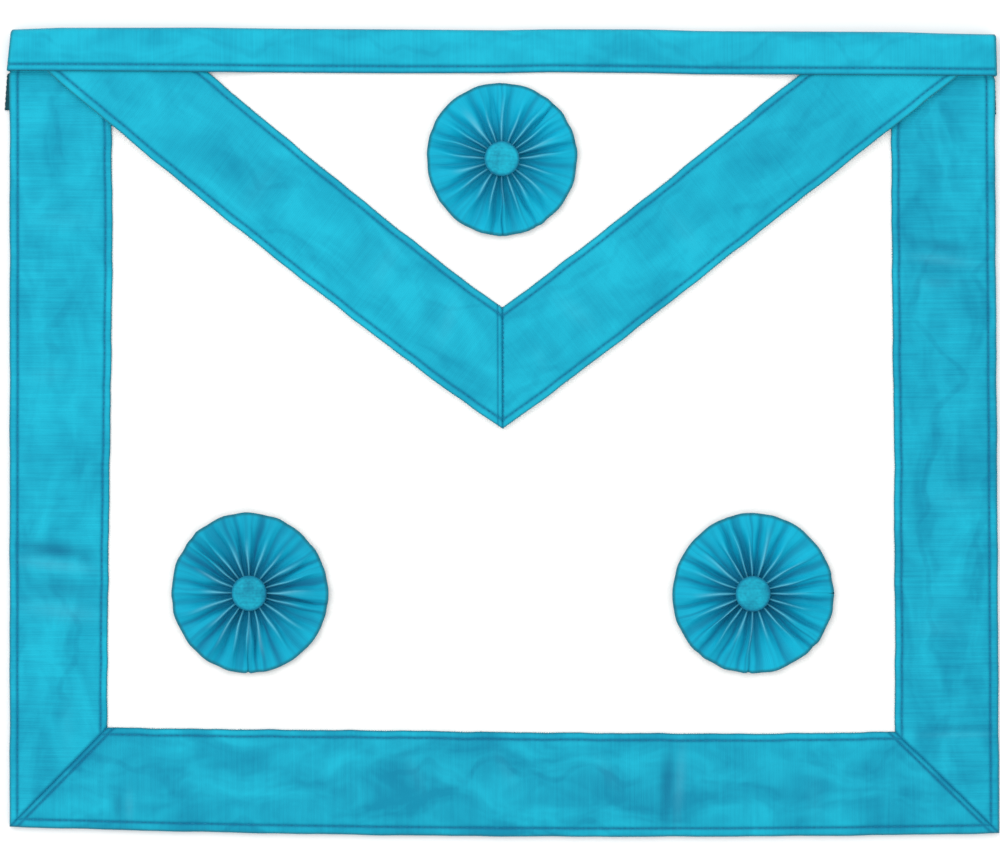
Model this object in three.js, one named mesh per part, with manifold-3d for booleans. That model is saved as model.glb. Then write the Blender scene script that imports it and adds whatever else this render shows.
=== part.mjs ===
// A lodge apron laid flat, front up: a white leather panel edged with watered turquoise ribbon, a pointed
// leather flap with a V of the same ribbon, a folded ribbon waistband, two belt tabs behind the upper corners
// and three pleated rosettes with covered buttons. Millimetres, +X to the viewer's right, +Y towards the
// waistband, +Z out of the front.
import * as THREE from "three";
import { mergeVertices } from "three/addons/utils/BufferGeometryUtils.js";
import Module from "manifold-3d";

const wasm = await Module();
wasm.setup();

// Outline of the apron
const APRON_WIDTH = 406;
const APRON_HEIGHT = 329.7;
const BOTTOM_BOW = 2.6; // the bottom edge hangs lower in the middle than at its corners
const SIDE_FLARE = 2; // the right side stands further out at its foot
const LAID_TILT = 2.7; // the top and bottom edges lie lower at their right ends

// Cloth and leather
const LEATHER = 1.2;
const RIBBON = 1.2;
const WEBBING = 1.2;
const CLOTH_GAP = 0.25; // clear space between two layers
const RIM_RUN = 24; // length over which the panel comes down beside its hem
const TOP_RUN = 48; // and below the waistband and the belt tabs
const FLAP_RUN = 60; // length over which the flap climbs on to the border
const BAND_RUN = 30; // length over which the waistband climbs on to the flap's ribbon
const EASE = 1; // level length before such a slope starts

// Ribbon border, turned over the panel's edge
const BORDER_WIDTH = 42;
const HEM_WIDTH = 8; // the part turned behind
const FOLD_DEPTH = 2.2; // from the fold's outermost line to where the ribbon lies flat
const FOLD_STITCH_INSET = 1.3; // from the flat's start to the stitch row beside the fold
const STITCH_INSET = 2.8; // from a woven edge to its stitch row
const STITCH_DIP = 0.2; // how far a row pulls the ribbon's face down
const RIBBON_PUFF = 0.55; // how far the ribbon stands off between its two rows
const MITRE_GAP = 0.3;

// Waistband, one ribbon folded lengthwise over the top edge
const WAISTBAND_WIDTH = 17.9;
const WAISTBAND_OVERHANG = 1.5; // past the border's fold at each end
const WAISTBAND_SLANT = 0.6; // how much further its ends reach at the lower edge

// Belt tabs, webbing sewn behind the upper corners
const TAB_WIDTH = 31.4;
const TAB_LENGTH = 34; // from the apron's side inwards
const TAB_PROUD_LEFT = 2.2; // past the apron's side
const TAB_PROUD_RIGHT = 1.9;

// Flap
const FLAP_DEPTH = 164.1; // from the top fold to the point
const FLAP_INSET = 15.5; // from the apron's side to the flap's edge, at the waistband's lower edge
const FLAP_BOW_LEFT = 4.1; // how far the left slanting edge bows below a straight line, measured upright
const FLAP_BOW_RIGHT = 1.9;
const FLAP_RIBBON_WIDTH = 39.2; // at the point
const FLAP_RIBBON_SPREAD = 5.5; // how much wider it lies at the flap's corners, measured upright
const FLAP_RIBBON_OVERHANG = 0.8; // past the leather's cut edge, measured upright

// Rosettes
const FLAP_ROSETTE_RADIUS = 31.2;
const FLAP_ROSETTE_DROP = 53.4; // from the top fold to its centre
const LOWER_ROSETTE_RADIUS = 32.8;
const LOWER_ROSETTE_RISE = 98; // from the bottom fold to its centre
const LOWER_ROSETTE_OFFSET = 103.2; // half the distance between the lower two
const LOWER_ROSETTE_SHIFT = -0.6; // from the centre line to the middle between them
const PLEATS = 20;
const PLEAT_HEIGHT = 5.2;
const RUFFLE_EYE = 3.2;
const BUTTON_RADIUS = 7.2;
const BUTTON_HEIGHT = 4.4;
const BUTTON_BACK = 0.78; // radius of its flat back, as a share of the button's
const BUTTON_RIM = 0.36; // height of its widest part, as a share of the button's
const BUTTON_SEAT = 0.67; // how high its back lies on the pleats, as a share of theirs

const BEYOND = 2; // how far a cutter runs past what it cuts

const SIDE = APRON_WIDTH / 2;
const TOP = APRON_HEIGHT / 2;
const BOTTOM = -TOP;
const RIBBON_LAYER = RIBBON + CLOTH_GAP;
const LEATHER_LAYER = LEATHER + CLOTH_GAP;
const HEM_END = HEM_WIDTH + EASE;
const LAYERS_TOP = TOP - FOLD_DEPTH - CLOTH_GAP; // where every layer ends inside the waistband's fold
const TAB_EDGE = LAYERS_TOP - TAB_WIDTH;
const TAB_END = TOP - TAB_EDGE + EASE;
const LAYERS_SIDE = SIDE - FOLD_DEPTH - CLOTH_GAP; // where the leather ends inside the border's fold
const WAISTBAND_EDGE = TOP - WAISTBAND_WIDTH;
const FLAP_POINT = TOP - FLAP_DEPTH;
const FLAP_CORNER = SIDE - FLAP_INSET;
const FLAP_SLOPE = (WAISTBAND_EDGE - FLAP_POINT) / FLAP_CORNER;
const FLAP_CLIMB_END = SIDE - BORDER_WIDTH - EASE;

const smooth = (from, to, x) => THREE.MathUtils.smoothstep(x, from, to);
const lerp = THREE.MathUtils.lerp;

// n + 1 values from a to b.
const steps = (a, b, n) => Array.from({ length: n + 1 }, (_, i) => lerp(a, b, i / n));

// The outline as the apron was laid by hand: a slow shift of every point in the plane.
function handLaid(x, y) {
  const across = (x + SIDE) / APRON_WIDTH;
  const down = (TOP - y) / APRON_HEIGHT;
  const bow = BOTTOM_BOW * (1 - (x / SIDE) ** 2) * down;
  const tilt = LAID_TILT * across * (2 * down - 1) ** 2;
  return [x + SIDE_FLARE * across * down, y - bow - tilt];
}

// Puts points and triangles together as one closed geometry whose faces point out.
function closed(points, triangles) {
  const laid = points.flatMap(([x, y, z]) => [...handLaid(x, y), z]);
  let volume = 0;
  const [a, b, c] = [new THREE.Vector3(), new THREE.Vector3(), new THREE.Vector3()];
  for (const [i, j, k] of triangles) {
    a.fromArray(laid, 3 * i);
    b.fromArray(laid, 3 * j);
    c.fromArray(laid, 3 * k);
    volume += a.dot(b.cross(c));
  }
  const order = volume < 0 ? triangles.map(([i, j, k]) => [i, k, j]) : triangles;
  const geometry = new THREE.BufferGeometry();
  geometry.setAttribute("position", new THREE.Float32BufferAttribute(laid, 3));
  geometry.setIndex(order.flat());
  return geometry;
}

// A cloth wall between two grids of points: face(i, j) on one side and back(i, j) on the other. A ring closes
// on itself in i, as a ruffle does.
function wall(columns, rows, face, back, ring = false) {
  const points = [face, back].flatMap((side) =>
    Array.from({ length: columns * rows }, (_, n) => side(Math.floor(n / rows), n % rows)),
  );
  const at = (side, i, j) => side * columns * rows + (i % columns) * rows + j;
  const triangles = [];
  const quad = (p, q, r, s) => triangles.push([p, q, r], [p, r, s]);
  const lastColumn = ring ? columns : columns - 1;
  for (let i = 0; i < lastColumn; i++) {
    for (let j = 0; j < rows - 1; j++) {
      quad(at(0, i, j), at(0, i + 1, j), at(0, i + 1, j + 1), at(0, i, j + 1));
      quad(at(1, i, j), at(1, i, j + 1), at(1, i + 1, j + 1), at(1, i + 1, j));
    }
    quad(at(0, i, 0), at(1, i, 0), at(1, i + 1, 0), at(0, i + 1, 0));
    quad(at(0, i, rows - 1), at(0, i + 1, rows - 1), at(1, i + 1, rows - 1), at(1, i, rows - 1));
  }
  if (!ring) {
    for (let j = 0; j < rows - 1; j++) {
      quad(at(0, 0, j), at(0, 0, j + 1), at(1, 0, j + 1), at(1, 0, j));
      const end = columns - 1;
      quad(at(0, end, j), at(1, end, j), at(1, end, j + 1), at(0, end, j + 1));
    }
  }
  return closed(points, triangles);
}

// A solid through closed loops of points, one loop for each section. outline is the flat outline that fills
// its two ends.
function loft(sections, outline) {
  const points = sections.flat();
  const around = sections[0].length;
  const last = (sections.length - 1) * around;
  const triangles = [];
  for (let s = 0; s < sections.length - 1; s++) {
    for (let k = 0; k < around; k++) {
      const [p, q] = [s * around + k, s * around + ((k + 1) % around)];
      triangles.push([p, q, q + around], [p, q + around, p + around]);
    }
  }
  const flat = outline.map(([u, v]) => new THREE.Vector2(u, v));
  for (const [i, j, k] of THREE.ShapeUtils.triangulateShape(flat, [])) {
    triangles.push([i, k, j], [last + i, last + j, last + k]);
  }
  return closed(points, triangles);
}

function solid(geometry) {
  const bare = geometry.clone();
  bare.deleteAttribute("normal");
  bare.deleteAttribute("uv");
  const merged = mergeVertices(bare);
  const vertProperties = merged.attributes.position.array;
  const triVerts = new Uint32Array(merged.index.array);
  return new wasm.Manifold(new wasm.Mesh({ numProp: 3, vertProperties, triVerts }));
}

// body with each of the cutters taken away.
function cut(body, ...cutters) {
  const left = cutters.reduce((kept, cutter) => kept.subtract(solid(cutter)), solid(body)).getMesh();
  const geometry = new THREE.BufferGeometry();
  geometry.setAttribute("position", new THREE.Float32BufferAttribute(left.vertProperties, 3));
  geometry.setIndex(Array.from(left.triVerts));
  return geometry;
}

// The room between two opposite corners, laid with the rest.
function block(a, b) {
  const [xs, ys, zs] = [0, 1, 2].map((k) => [Math.min(a[k], b[k]), Math.max(a[k], b[k])]);
  const at = (i, j, z) => [xs[i], ys[j], z];
  return wall(2, 2, (i, j) => at(i, j, zs[1]), (i, j) => at(i, j, zs[0]));
}

// Heights. The panel lies on the floor and rises on to the hem turned under its rim and, along the top, on to
// the waistband's back leg and the belt tabs. Each further layer follows the one below it.
function panelUnder(x, y) {
  const side = 1 - smooth(HEM_END, HEM_END + RIM_RUN, SIDE - Math.abs(x));
  const bottom = 1 - smooth(HEM_END, HEM_END + RIM_RUN, y - BOTTOM);
  const top = 1 - smooth(TAB_END, TAB_END + TOP_RUN, TOP - y);
  return RIBBON_LAYER * (1 - (1 - side) * (1 - bottom) * (1 - top));
}

const borderUnder = (x, y) => panelUnder(x, y) + LEATHER_LAYER;

// The flap climbs on to the border ribbon at its two corners.
function flapUnder(x, y) {
  const climb = smooth(FLAP_CLIMB_END - FLAP_RUN, FLAP_CLIMB_END, Math.abs(x));
  return borderUnder(x, y) + RIBBON_LAYER * climb;
}

const flapRibbonUnder = (x, y) => flapUnder(x, y) + LEATHER_LAYER;

// The waistband's front leg lies on the flap, and on the flap's ribbon where that runs in under it.
function waistbandUnder(x) {
  const end = bandClimbEnd();
  return flapRibbonUnder(x, WAISTBAND_EDGE) + RIBBON_LAYER * smooth(end - BAND_RUN, end, Math.abs(x));
}

// Where that climb ends, a little short of the place where the ribbon's inner edge first runs in.
function bandClimbEnd() {
  return Math.min(...[-1, 1].map((sign) => ribbonMeets(WAISTBAND_EDGE, 1, sign))) - EASE;
}

// Height on the page of the flap's bowed outer edge at x from the centre line.
function flapEdge(x) {
  const share = Math.abs(x) / FLAP_CORNER;
  const bow = x < 0 ? FLAP_BOW_LEFT : FLAP_BOW_RIGHT;
  return FLAP_POINT + FLAP_SLOPE * Math.abs(x) - 4 * bow * share * (1 - share);
}

// The same for the line at a share of the way across the flap's ribbon, from its outer to its inner edge.
function flapRibbonLine(x, share) {
  const atPoint = FLAP_RIBBON_WIDTH * Math.hypot(1, FLAP_SLOPE);
  const spread = (FLAP_RIBBON_SPREAD * Math.abs(x)) / FLAP_CORNER;
  return flapEdge(x) + share * (atPoint + spread);
}

// Distance from the centre line at which that line reaches the height y on the side given by sign, found by
// halving.
function ribbonMeets(y, share, sign) {
  let [low, high] = [0, LAYERS_SIDE];
  for (let n = 0; n < 40; n++) {
    const middle = (low + high) / 2;
    if (flapRibbonLine(sign * middle, share) < y) low = middle;
    else high = middle;
  }
  return low;
}

// The lines of points across a ribbon stitched along both edges, from start to width: where each lies, its
// share of the puff, and whether a stitch row pulls it down. between lists the places of the lines between the
// two rows.
function ribbonLines(start, width, firstInset, between) {
  const first = start + firstInset;
  const last = width - STITCH_INSET;
  const offMiddle = (at) => (2 * (at - first)) / (last - first) - 1;
  const puffed = between.map((at) => ({ at, puff: 1 - offMiddle(at) ** 4, dip: 0 }));
  return [
    { at: start, puff: 0, dip: 0 },
    { at: first, puff: 0, dip: 1 },
    ...puffed,
    { at: last, puff: 0, dip: 1 },
    { at: width, puff: 0, dip: 0 },
  ];
}

// Small creases across the border ribbons: how far along the strip, and what share of the puff is lost.
const CREASES = {
  left: [
    { along: 0.35, lost: 0.9 },
    { along: 0.296, lost: 0.5 },
  ],
  right: [
    { along: 0.728, lost: 0.7 },
    { along: 0.142, lost: 0.6 },
  ],
  bottom: [
    { along: 0.13, lost: 0.4 },
    { along: 0.42, lost: 0.4 },
    { along: 0.67, lost: 0.9 },
  ],
};
const CREASE_RUN = 7;

// Share of the puff left at a distance s along a strip from low to high.
function creased(name, low, high, s) {
  return CREASES[name].reduce((kept, { along, lost }) => {
    const away = Math.abs(s - lerp(low, high, along)) / CREASE_RUN;
    return kept * (1 - lost * (1 - smooth(0, 1, away)));
  }, 1);
}

const creasePlaces = (name, low, high) =>
  CREASES[name].flatMap(({ along }) => [-1, 0, 1].map((k) => lerp(low, high, along) + k * CREASE_RUN));

// A border strip in its own terms: d is the distance in from the outer fold and s runs along the strip. The
// ribbon goes from the hem's edge round the fold to the inner edge. place(d, s) gives the point on the page.
function borderStrip(place, along, puffAt) {
  const stack = RIBBON_LAYER + LEATHER_LAYER + RIBBON;
  const hem = [{ d: HEM_WIDTH, face: 0, back: RIBBON }];
  const turns = steps(-90, 90, 4).map((angle) => {
    const [c, s] = [Math.cos(angle * THREE.MathUtils.DEG2RAD), Math.sin(angle * THREE.MathUtils.DEG2RAD)];
    return {
      d: FOLD_DEPTH * (1 - c),
      backD: FOLD_DEPTH - (FOLD_DEPTH - RIBBON) * c,
      face: (stack / 2) * (1 + s),
      back: stack / 2 + (stack / 2 - RIBBON) * s,
    };
  });
  const between = steps(HEM_END, HEM_END + RIM_RUN, 3);
  const front = ribbonLines(FOLD_DEPTH, BORDER_WIDTH, FOLD_STITCH_INSET, between).slice(1);
  const lines = [...hem, ...turns, ...front];
  const spot = (line, j) => {
    const d = line.at ?? line.d;
    return place(d, along(d)[j]);
  };
  const lifted = (line, j) => {
    const [x, y] = spot(line, j);
    return borderUnder(x, y) + RIBBON_PUFF * line.puff * puffAt(along(line.at)[j]);
  };
  const face = (i, j) => {
    const line = lines[i];
    if (line.at === undefined) return [...spot(line, j), line.face];
    return [...spot(line, j), lifted(line, j) + RIBBON - STITCH_DIP * line.dip];
  };
  const back = (i, j) => {
    const line = lines[i];
    if (line.at !== undefined) return [...spot(line, j), lifted(line, j)];
    const d = line.backD ?? line.d;
    return [...place(d, along(d)[j]), line.back];
  };
  return wall(lines.length, along(0).length, face, back);
}

const byPlace = (a, b) => a - b;

// Lines of points across a side strip, from its mitre up into the waistband.
function sideAlong(name) {
  const clearOfMitre = BOTTOM + BORDER_WIDTH + EASE;
  const rampStart = TOP - TAB_END - TOP_RUN;
  const isPlain = (s) => s > clearOfMitre + EASE && s < rampStart - EASE;
  const plain = creasePlaces(name, BOTTOM, TOP).filter(isPlain).sort(byPlace);
  const upper = [...plain, ...steps(rampStart, TOP - TAB_END, 4), LAYERS_TOP];
  return (d) => [...steps(BOTTOM + d + MITRE_GAP, clearOfMitre, 4), ...upper];
}

function sideBorder(name, sign) {
  const place = (d, s) => [sign * (SIDE - d), s];
  const fade = (s) => 1 - smooth(TOP - TAB_END - TOP_RUN, TOP - TAB_END - TOP_RUN / 4, s);
  const puffAt = (s) => fade(s) * creased(name, BOTTOM, TOP, s);
  const strip = borderStrip(place, sideAlong(name), puffAt);
  // The turned hem stops below the belt tab, which leaves the apron here.
  const room = block(
    [sign * (SIDE - HEM_END), TAB_EDGE - CLOTH_GAP, -BEYOND],
    [sign * (SIDE + BEYOND), TOP, RIBBON + CLOTH_GAP],
  );
  return cut(strip, room);
}

function bottomBorder() {
  const place = (d, s) => [s, BOTTOM + d];
  const clearOfMitre = SIDE - BORDER_WIDTH - EASE;
  const isInner = (s) => Math.abs(s) < clearOfMitre - EASE;
  const inner = creasePlaces("bottom", -SIDE, SIDE).filter(isInner).sort(byPlace);
  const along = (d) => {
    const end = SIDE - d - MITRE_GAP;
    return [...steps(-end, -clearOfMitre, 4), ...inner, ...steps(clearOfMitre, end, 4)];
  };
  return borderStrip(place, along, (s) => creased("bottom", -SIDE, SIDE, s));
}

function panel() {
  const ramp = steps(SIDE - HEM_END, SIDE - HEM_END - RIM_RUN, 3);
  const xs = [LAYERS_SIDE, ...ramp, 0, ...ramp.map((x) => -x).reverse(), -LAYERS_SIDE];
  const low = steps(BOTTOM + HEM_END, BOTTOM + HEM_END + RIM_RUN, 3);
  const high = steps(TOP - TAB_END - TOP_RUN, TOP - TAB_END, 4);
  const ys = [BOTTOM + FOLD_DEPTH + CLOTH_GAP, ...low, ...high, LAYERS_TOP];
  const under = (i, j) => [xs[i], ys[j], panelUnder(xs[i], ys[j])];
  const over = (i, j) => [xs[i], ys[j], panelUnder(xs[i], ys[j]) + LEATHER];
  return wall(xs.length, ys.length, over, under);
}

function flap() {
  const climb = steps(FLAP_CLIMB_END - FLAP_RUN, FLAP_CLIMB_END, 5);
  const half = [...steps(0, climb[0], 4).slice(1, -1), ...climb, FLAP_CORNER, LAYERS_SIDE];
  const xs = [...half.map((x) => -x).reverse(), 0, ...half];
  const ramp = steps(TOP - TAB_END - TOP_RUN, TOP - TAB_END, 4);
  const last = ramp.length + 1;
  const rowAt = (x, j) => {
    const low = flapEdge(x) + FLAP_RIBBON_OVERHANG;
    if (j === 0) return low;
    if (j === last) return LAYERS_TOP;
    return Math.max(ramp[j - 1], lerp(low, LAYERS_TOP, (0.5 * j) / last));
  };
  const at = (i, j, lift) => {
    const y = rowAt(xs[i], j);
    return [xs[i], y, flapUnder(xs[i], y) + lift];
  };
  return wall(xs.length, last + 1, (i, j) => at(i, j, LEATHER), (i, j) => at(i, j, 0));
}

// One arm of the V, from the seam on the centre line up under the waistband.
function flapRibbon(sign) {
  const between = steps(2 * STITCH_INSET, FLAP_RIBBON_WIDTH - 2 * STITCH_INSET, 3);
  const lines = ribbonLines(0, FLAP_RIBBON_WIDTH, STITCH_INSET, between);
  const share = (line) => line.at / FLAP_RIBBON_WIDTH;
  const places = lines.map((line) => {
    const meets = (y) => ribbonMeets(y, share(line), sign);
    const [start, end] = [meets(TOP - TAB_END - TOP_RUN), meets(TOP - TAB_END)];
    const low = steps(MITRE_GAP / 2, start, 3).slice(0, -1);
    return [...low, ...steps(start, end, 5), meets(WAISTBAND_EDGE), meets(LAYERS_TOP)];
  });
  const fadeEnd = WAISTBAND_EDGE - 3 * EASE;
  const at = (i, j, lift) => {
    const x = sign * places[i][j];
    const y = flapRibbonLine(x, share(lines[i]));
    const fade = 1 - smooth(fadeEnd - BAND_RUN, fadeEnd, y);
    return [x, y, flapRibbonUnder(x, y) + RIBBON_PUFF * lines[i].puff * fade + lift];
  };
  const face = (i, j) => at(i, j, RIBBON - STITCH_DIP * lines[i].dip);
  return wall(lines.length, places[0].length, face, (i, j) => at(i, j, 0));
}

// Section of the waistband at x, as a loop of [y, z] round the whole folded ribbon (thickness 0) or round the
// hollow between its two legs (thickness RIBBON).
function waistbandLoop(x, thickness, lowerEdge) {
  const height = waistbandUnder(x) + RIBBON;
  const [middle, rise] = [height / 2, height / 2 - thickness];
  const reach = FOLD_DEPTH - thickness;
  const row = WAISTBAND_EDGE + STITCH_INSET;
  const half = 0.6 * STITCH_INSET;
  const dip = thickness ? 0 : STITCH_DIP;
  const top = height - thickness;
  const fold = steps(-90, 90, 6).map((angle) => {
    const turn = angle * THREE.MathUtils.DEG2RAD;
    return [TOP - FOLD_DEPTH + reach * Math.cos(turn), middle + rise * Math.sin(turn)];
  });
  const stitched = [[row + half, top], [row, top - dip], [row - half, top]];
  return [[lowerEdge, thickness], ...fold, ...stitched, [lowerEdge, top]];
}

function waistband() {
  const end = bandClimbEnd();
  const half = [...steps(end - BAND_RUN, end, 3), ...steps(end, FLAP_CLIMB_END, 3).slice(1), FLAP_CORNER];
  const inner = [...half.map((x) => -x).reverse(), 0, ...half];
  const solidOf = (thickness, lowerEdge) => {
    const slant = (y) => (WAISTBAND_SLANT * (TOP - y)) / WAISTBAND_WIDTH;
    const endAt = (y) => SIDE + WAISTBAND_OVERHANG - thickness + slant(y);
    const sections = [-1, ...inner, 1].map((x, n, all) => {
      const isEnd = n === 0 || n === all.length - 1;
      const loop = waistbandLoop(isEnd ? SIDE : x, thickness, lowerEdge);
      return loop.map(([y, z]) => [isEnd ? x * endAt(y) : x, y, z]);
    });
    return loft(sections, waistbandLoop(SIDE, thickness, lowerEdge));
  };
  // The back leg stops at each belt tab, which takes its place.
  const tabRoom = [-1, 1].map((sign) => {
    const inside = [sign * (SIDE - TAB_LENGTH - CLOTH_GAP), WAISTBAND_EDGE - BEYOND, -BEYOND];
    const outside = [sign * (SIDE + WAISTBAND_OVERHANG + BEYOND), LAYERS_TOP + CLOTH_GAP, WEBBING + CLOTH_GAP];
    return block(inside, outside);
  });
  return cut(solidOf(0, WAISTBAND_EDGE), solidOf(RIBBON, WAISTBAND_EDGE - BEYOND), ...tabRoom);
}

// Webbing with a slanting outer end: within the waistband at the top, proud of the side at the bottom.
function tab(sign, proud) {
  const inner = SIDE - TAB_LENGTH;
  const ys = [LAYERS_TOP, TAB_EDGE];
  const outer = [SIDE + Math.min(WAISTBAND_OVERHANG, proud) - RIBBON, SIDE + proud];
  const at = (i, j, z) => [sign * (i ? outer[j] : inner), ys[j], z];
  return wall(2, 2, (i, j) => at(i, j, WEBBING), (i, j) => at(i, j, 0));
}

// Rings of a rosette from its eye to its rim. Radius is a share of the rosette's radius. crest, valley and the
// rim's lift are shares of the pleat height. shoulder says how full a pleat is half way down its side, and
// hollow how much of the wave its underside follows.
const RUFFLE_RINGS = [
  { radius: 0.22, crest: 0.6, valley: 0.3, shoulder: 0.45, hollow: 0, lift: 0 },
  { radius: 0.36, crest: 1.0, valley: 0.26, shoulder: 0.38, hollow: 0.25, lift: 0 },
  { radius: 0.66, crest: 0.86, valley: 0.26, shoulder: 0.55, hollow: 0.5, lift: 0.03 },
  { radius: 1.0, crest: 0.45, valley: 0.27, shoulder: 0.76, hollow: 0.75, lift: 0.14 },
];
const SAMPLES = 4; // points round each pleat

// Round the rosette the pleats vary a little, as gathered by hand: how high each stands and where it points.
const wobble = (turn, seed) => 0.6 * Math.sin(3 * turn + seed) + 0.4 * Math.sin(7 * turn + 2 * seed);
const pleatVariation = (turn, seed) => 1 + 0.15 * wobble(turn, seed);
const pleatLean = (turn, seed) => turn + 0.06 * wobble(turn, seed + 1);

function ruffle(centre, radius, ground, seed) {
  const eye = { radius: RUFFLE_EYE / radius, crest: 0.42, valley: 0.34, shoulder: 0.5, hollow: 0, lift: 0 };
  const rings = [eye, ...RUFFLE_RINGS];
  const at = (i, j, under) => {
    const { radius: share, crest, valley, shoulder, hollow, lift } = rings[j];
    const turn = (2 * Math.PI * i) / (PLEATS * SAMPLES);
    const wave = [1, shoulder, 0, shoulder][i % SAMPLES];
    const height = lerp(valley, crest * pleatVariation(turn, seed), wave);
    const ripple = 1 + share * (0.012 * Math.cos(PLEATS * turn) + 0.01 * Math.sin(3 * turn + seed));
    const r = share * radius * ripple;
    const x = centre[0] + r * Math.cos(pleatLean(turn, seed));
    const y = centre[1] + r * Math.sin(pleatLean(turn, seed));
    const local = under ? hollow * (height - valley) : height;
    return [x, y, ground(x, y) + CLOTH_GAP + PLEAT_HEIGHT * (local + lift)];
  };
  return wall(PLEATS * SAMPLES, rings.length, (i, j) => at(i, j, false), (i, j) => at(i, j, true), true);
}

// A cloth-covered domed button, seated on the pleats' gathered middle.
function button(centre, ground) {
  const seat = PLEAT_HEIGHT * BUTTON_SEAT;
  const shoulder = BUTTON_RIM * BUTTON_HEIGHT;
  const dome = steps(0, 90, 5).map((angle) => {
    const turn = angle * THREE.MathUtils.DEG2RAD;
    const height = shoulder + (BUTTON_HEIGHT - shoulder) * Math.sin(turn);
    return new THREE.Vector2(BUTTON_RADIUS * Math.cos(turn), height);
  });
  dome[dome.length - 1].x = 0;
  const profile = [new THREE.Vector2(0, 0), new THREE.Vector2(BUTTON_BACK * BUTTON_RADIUS, 0), ...dome];
  const shape = new THREE.LatheGeometry(profile, 20).rotateX(Math.PI / 2);
  return shape.translate(...handLaid(...centre), ground(...centre) + CLOTH_GAP + seat);
}

const finish = (color, roughness) => new THREE.MeshStandardMaterial({ color, roughness, metalness: 0 });
const ribbonCloth = () => finish(0x1fb0cf, 0.5);
const whiteLeather = () => finish(0xf7f7f5, 0.6);
const darkWebbing = () => finish(0x0e5f6d, 0.8);

const panelTop = (x, y) => panelUnder(x, y) + LEATHER;
const flapTop = (x, y) => flapUnder(x, y) + LEATHER;
const lowerCentre = (sign) => [sign * LOWER_ROSETTE_OFFSET + LOWER_ROSETTE_SHIFT, BOTTOM + LOWER_ROSETTE_RISE];
const upperCentre = [0, TOP - FLAP_ROSETTE_DROP];
const ROSETTES = [
  { name: "flap", centre: upperCentre, radius: FLAP_ROSETTE_RADIUS, ground: flapTop, seed: 0.4 },
  { name: "left", centre: lowerCentre(-1), radius: LOWER_ROSETTE_RADIUS, ground: panelTop, seed: 1.7 },
  { name: "right", centre: lowerCentre(1), radius: LOWER_ROSETTE_RADIUS, ground: panelTop, seed: 3.1 },
];

const PIECES = [
  { name: "panel", shape: panel(), material: whiteLeather() },
  { name: "border_left", shape: sideBorder("left", -1), material: ribbonCloth() },
  { name: "border_right", shape: sideBorder("right", 1), material: ribbonCloth() },
  { name: "border_bottom", shape: bottomBorder(), material: ribbonCloth() },
  { name: "flap", shape: flap(), material: whiteLeather() },
  { name: "flap_ribbon_left", shape: flapRibbon(-1), material: ribbonCloth() },
  { name: "flap_ribbon_right", shape: flapRibbon(1), material: ribbonCloth() },
  { name: "waistband", shape: waistband(), material: ribbonCloth() },
  { name: "belt_tab_left", shape: tab(-1, TAB_PROUD_LEFT), material: darkWebbing() },
  { name: "belt_tab_right", shape: tab(1, TAB_PROUD_RIGHT), material: darkWebbing() },
  ...ROSETTES.flatMap(({ name, centre, radius, ground, seed }) => [
    { name: `rosette_${name}`, shape: ruffle(centre, radius, ground, seed), material: ribbonCloth() },
    { name: `button_${name}`, shape: button(centre, ground), material: ribbonCloth() },
  ]),
];

const apron = new THREE.Group();
for (const { name, shape, material } of PIECES) {
  const mesh = new THREE.Mesh(shape, material);
  mesh.name = name;
  apron.add(mesh);
}

// The frame's origin is the middle of the laid apron, on the surface that it lies on.
const reach = new THREE.Box3().setFromObject(apron);
const middle = reach.getCenter(new THREE.Vector3());
apron.position.set(-middle.x, -middle.y, -reach.min.z);

export default apron;
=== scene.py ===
"""Looks of a lodge apron laid flat: white leather, watered turquoise ribbon, rosettes and covered
buttons.

Every piece is worked out in millimetres on the apron's flat pattern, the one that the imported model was
made on: x to the viewer's right, y up towards the waistband, z out of the front. lay() then gives each
point the place that it has on the hand-laid apron, in metres.
"""

import bpy
import numpy as np
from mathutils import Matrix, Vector


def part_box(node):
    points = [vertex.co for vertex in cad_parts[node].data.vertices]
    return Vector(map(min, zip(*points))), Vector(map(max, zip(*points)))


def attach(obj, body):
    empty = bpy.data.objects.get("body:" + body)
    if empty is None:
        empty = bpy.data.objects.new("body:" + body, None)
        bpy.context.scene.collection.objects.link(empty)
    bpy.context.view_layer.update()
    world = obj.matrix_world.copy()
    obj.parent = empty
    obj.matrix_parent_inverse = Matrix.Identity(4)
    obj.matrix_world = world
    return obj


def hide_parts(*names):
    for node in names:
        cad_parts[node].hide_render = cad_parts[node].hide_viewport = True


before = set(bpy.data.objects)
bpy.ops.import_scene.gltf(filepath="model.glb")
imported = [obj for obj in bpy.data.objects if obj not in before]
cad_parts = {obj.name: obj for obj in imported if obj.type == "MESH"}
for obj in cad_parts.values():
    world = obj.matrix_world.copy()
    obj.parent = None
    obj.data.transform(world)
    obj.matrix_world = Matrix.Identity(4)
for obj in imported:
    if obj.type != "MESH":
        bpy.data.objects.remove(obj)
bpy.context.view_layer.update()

MM = 0.001

# Outline of the apron
APRON_WIDTH = 406
APRON_HEIGHT = 329.7
BOTTOM_BOW = 2.6
SIDE_FLARE = 2
LAID_TILT = 2.7
RIGHT_EASE = 0.5  # how far the right side lies out

# Cloth and leather
LEATHER = 1.2
RIBBON = 1.2
WEBBING = 1.2
CLOSE_WALL = 0.7  # thickness of the waistband's turned-in ends
CLOTH_GAP = 0.25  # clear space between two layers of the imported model
LIE = 0.22  # how much of that space a ribbon takes up where it lies on the layer below
RIM_RUN = 24
TOP_RUN = 48
FLAP_RUN = 60
BAND_RUN = 30
EASE = 1

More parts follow.
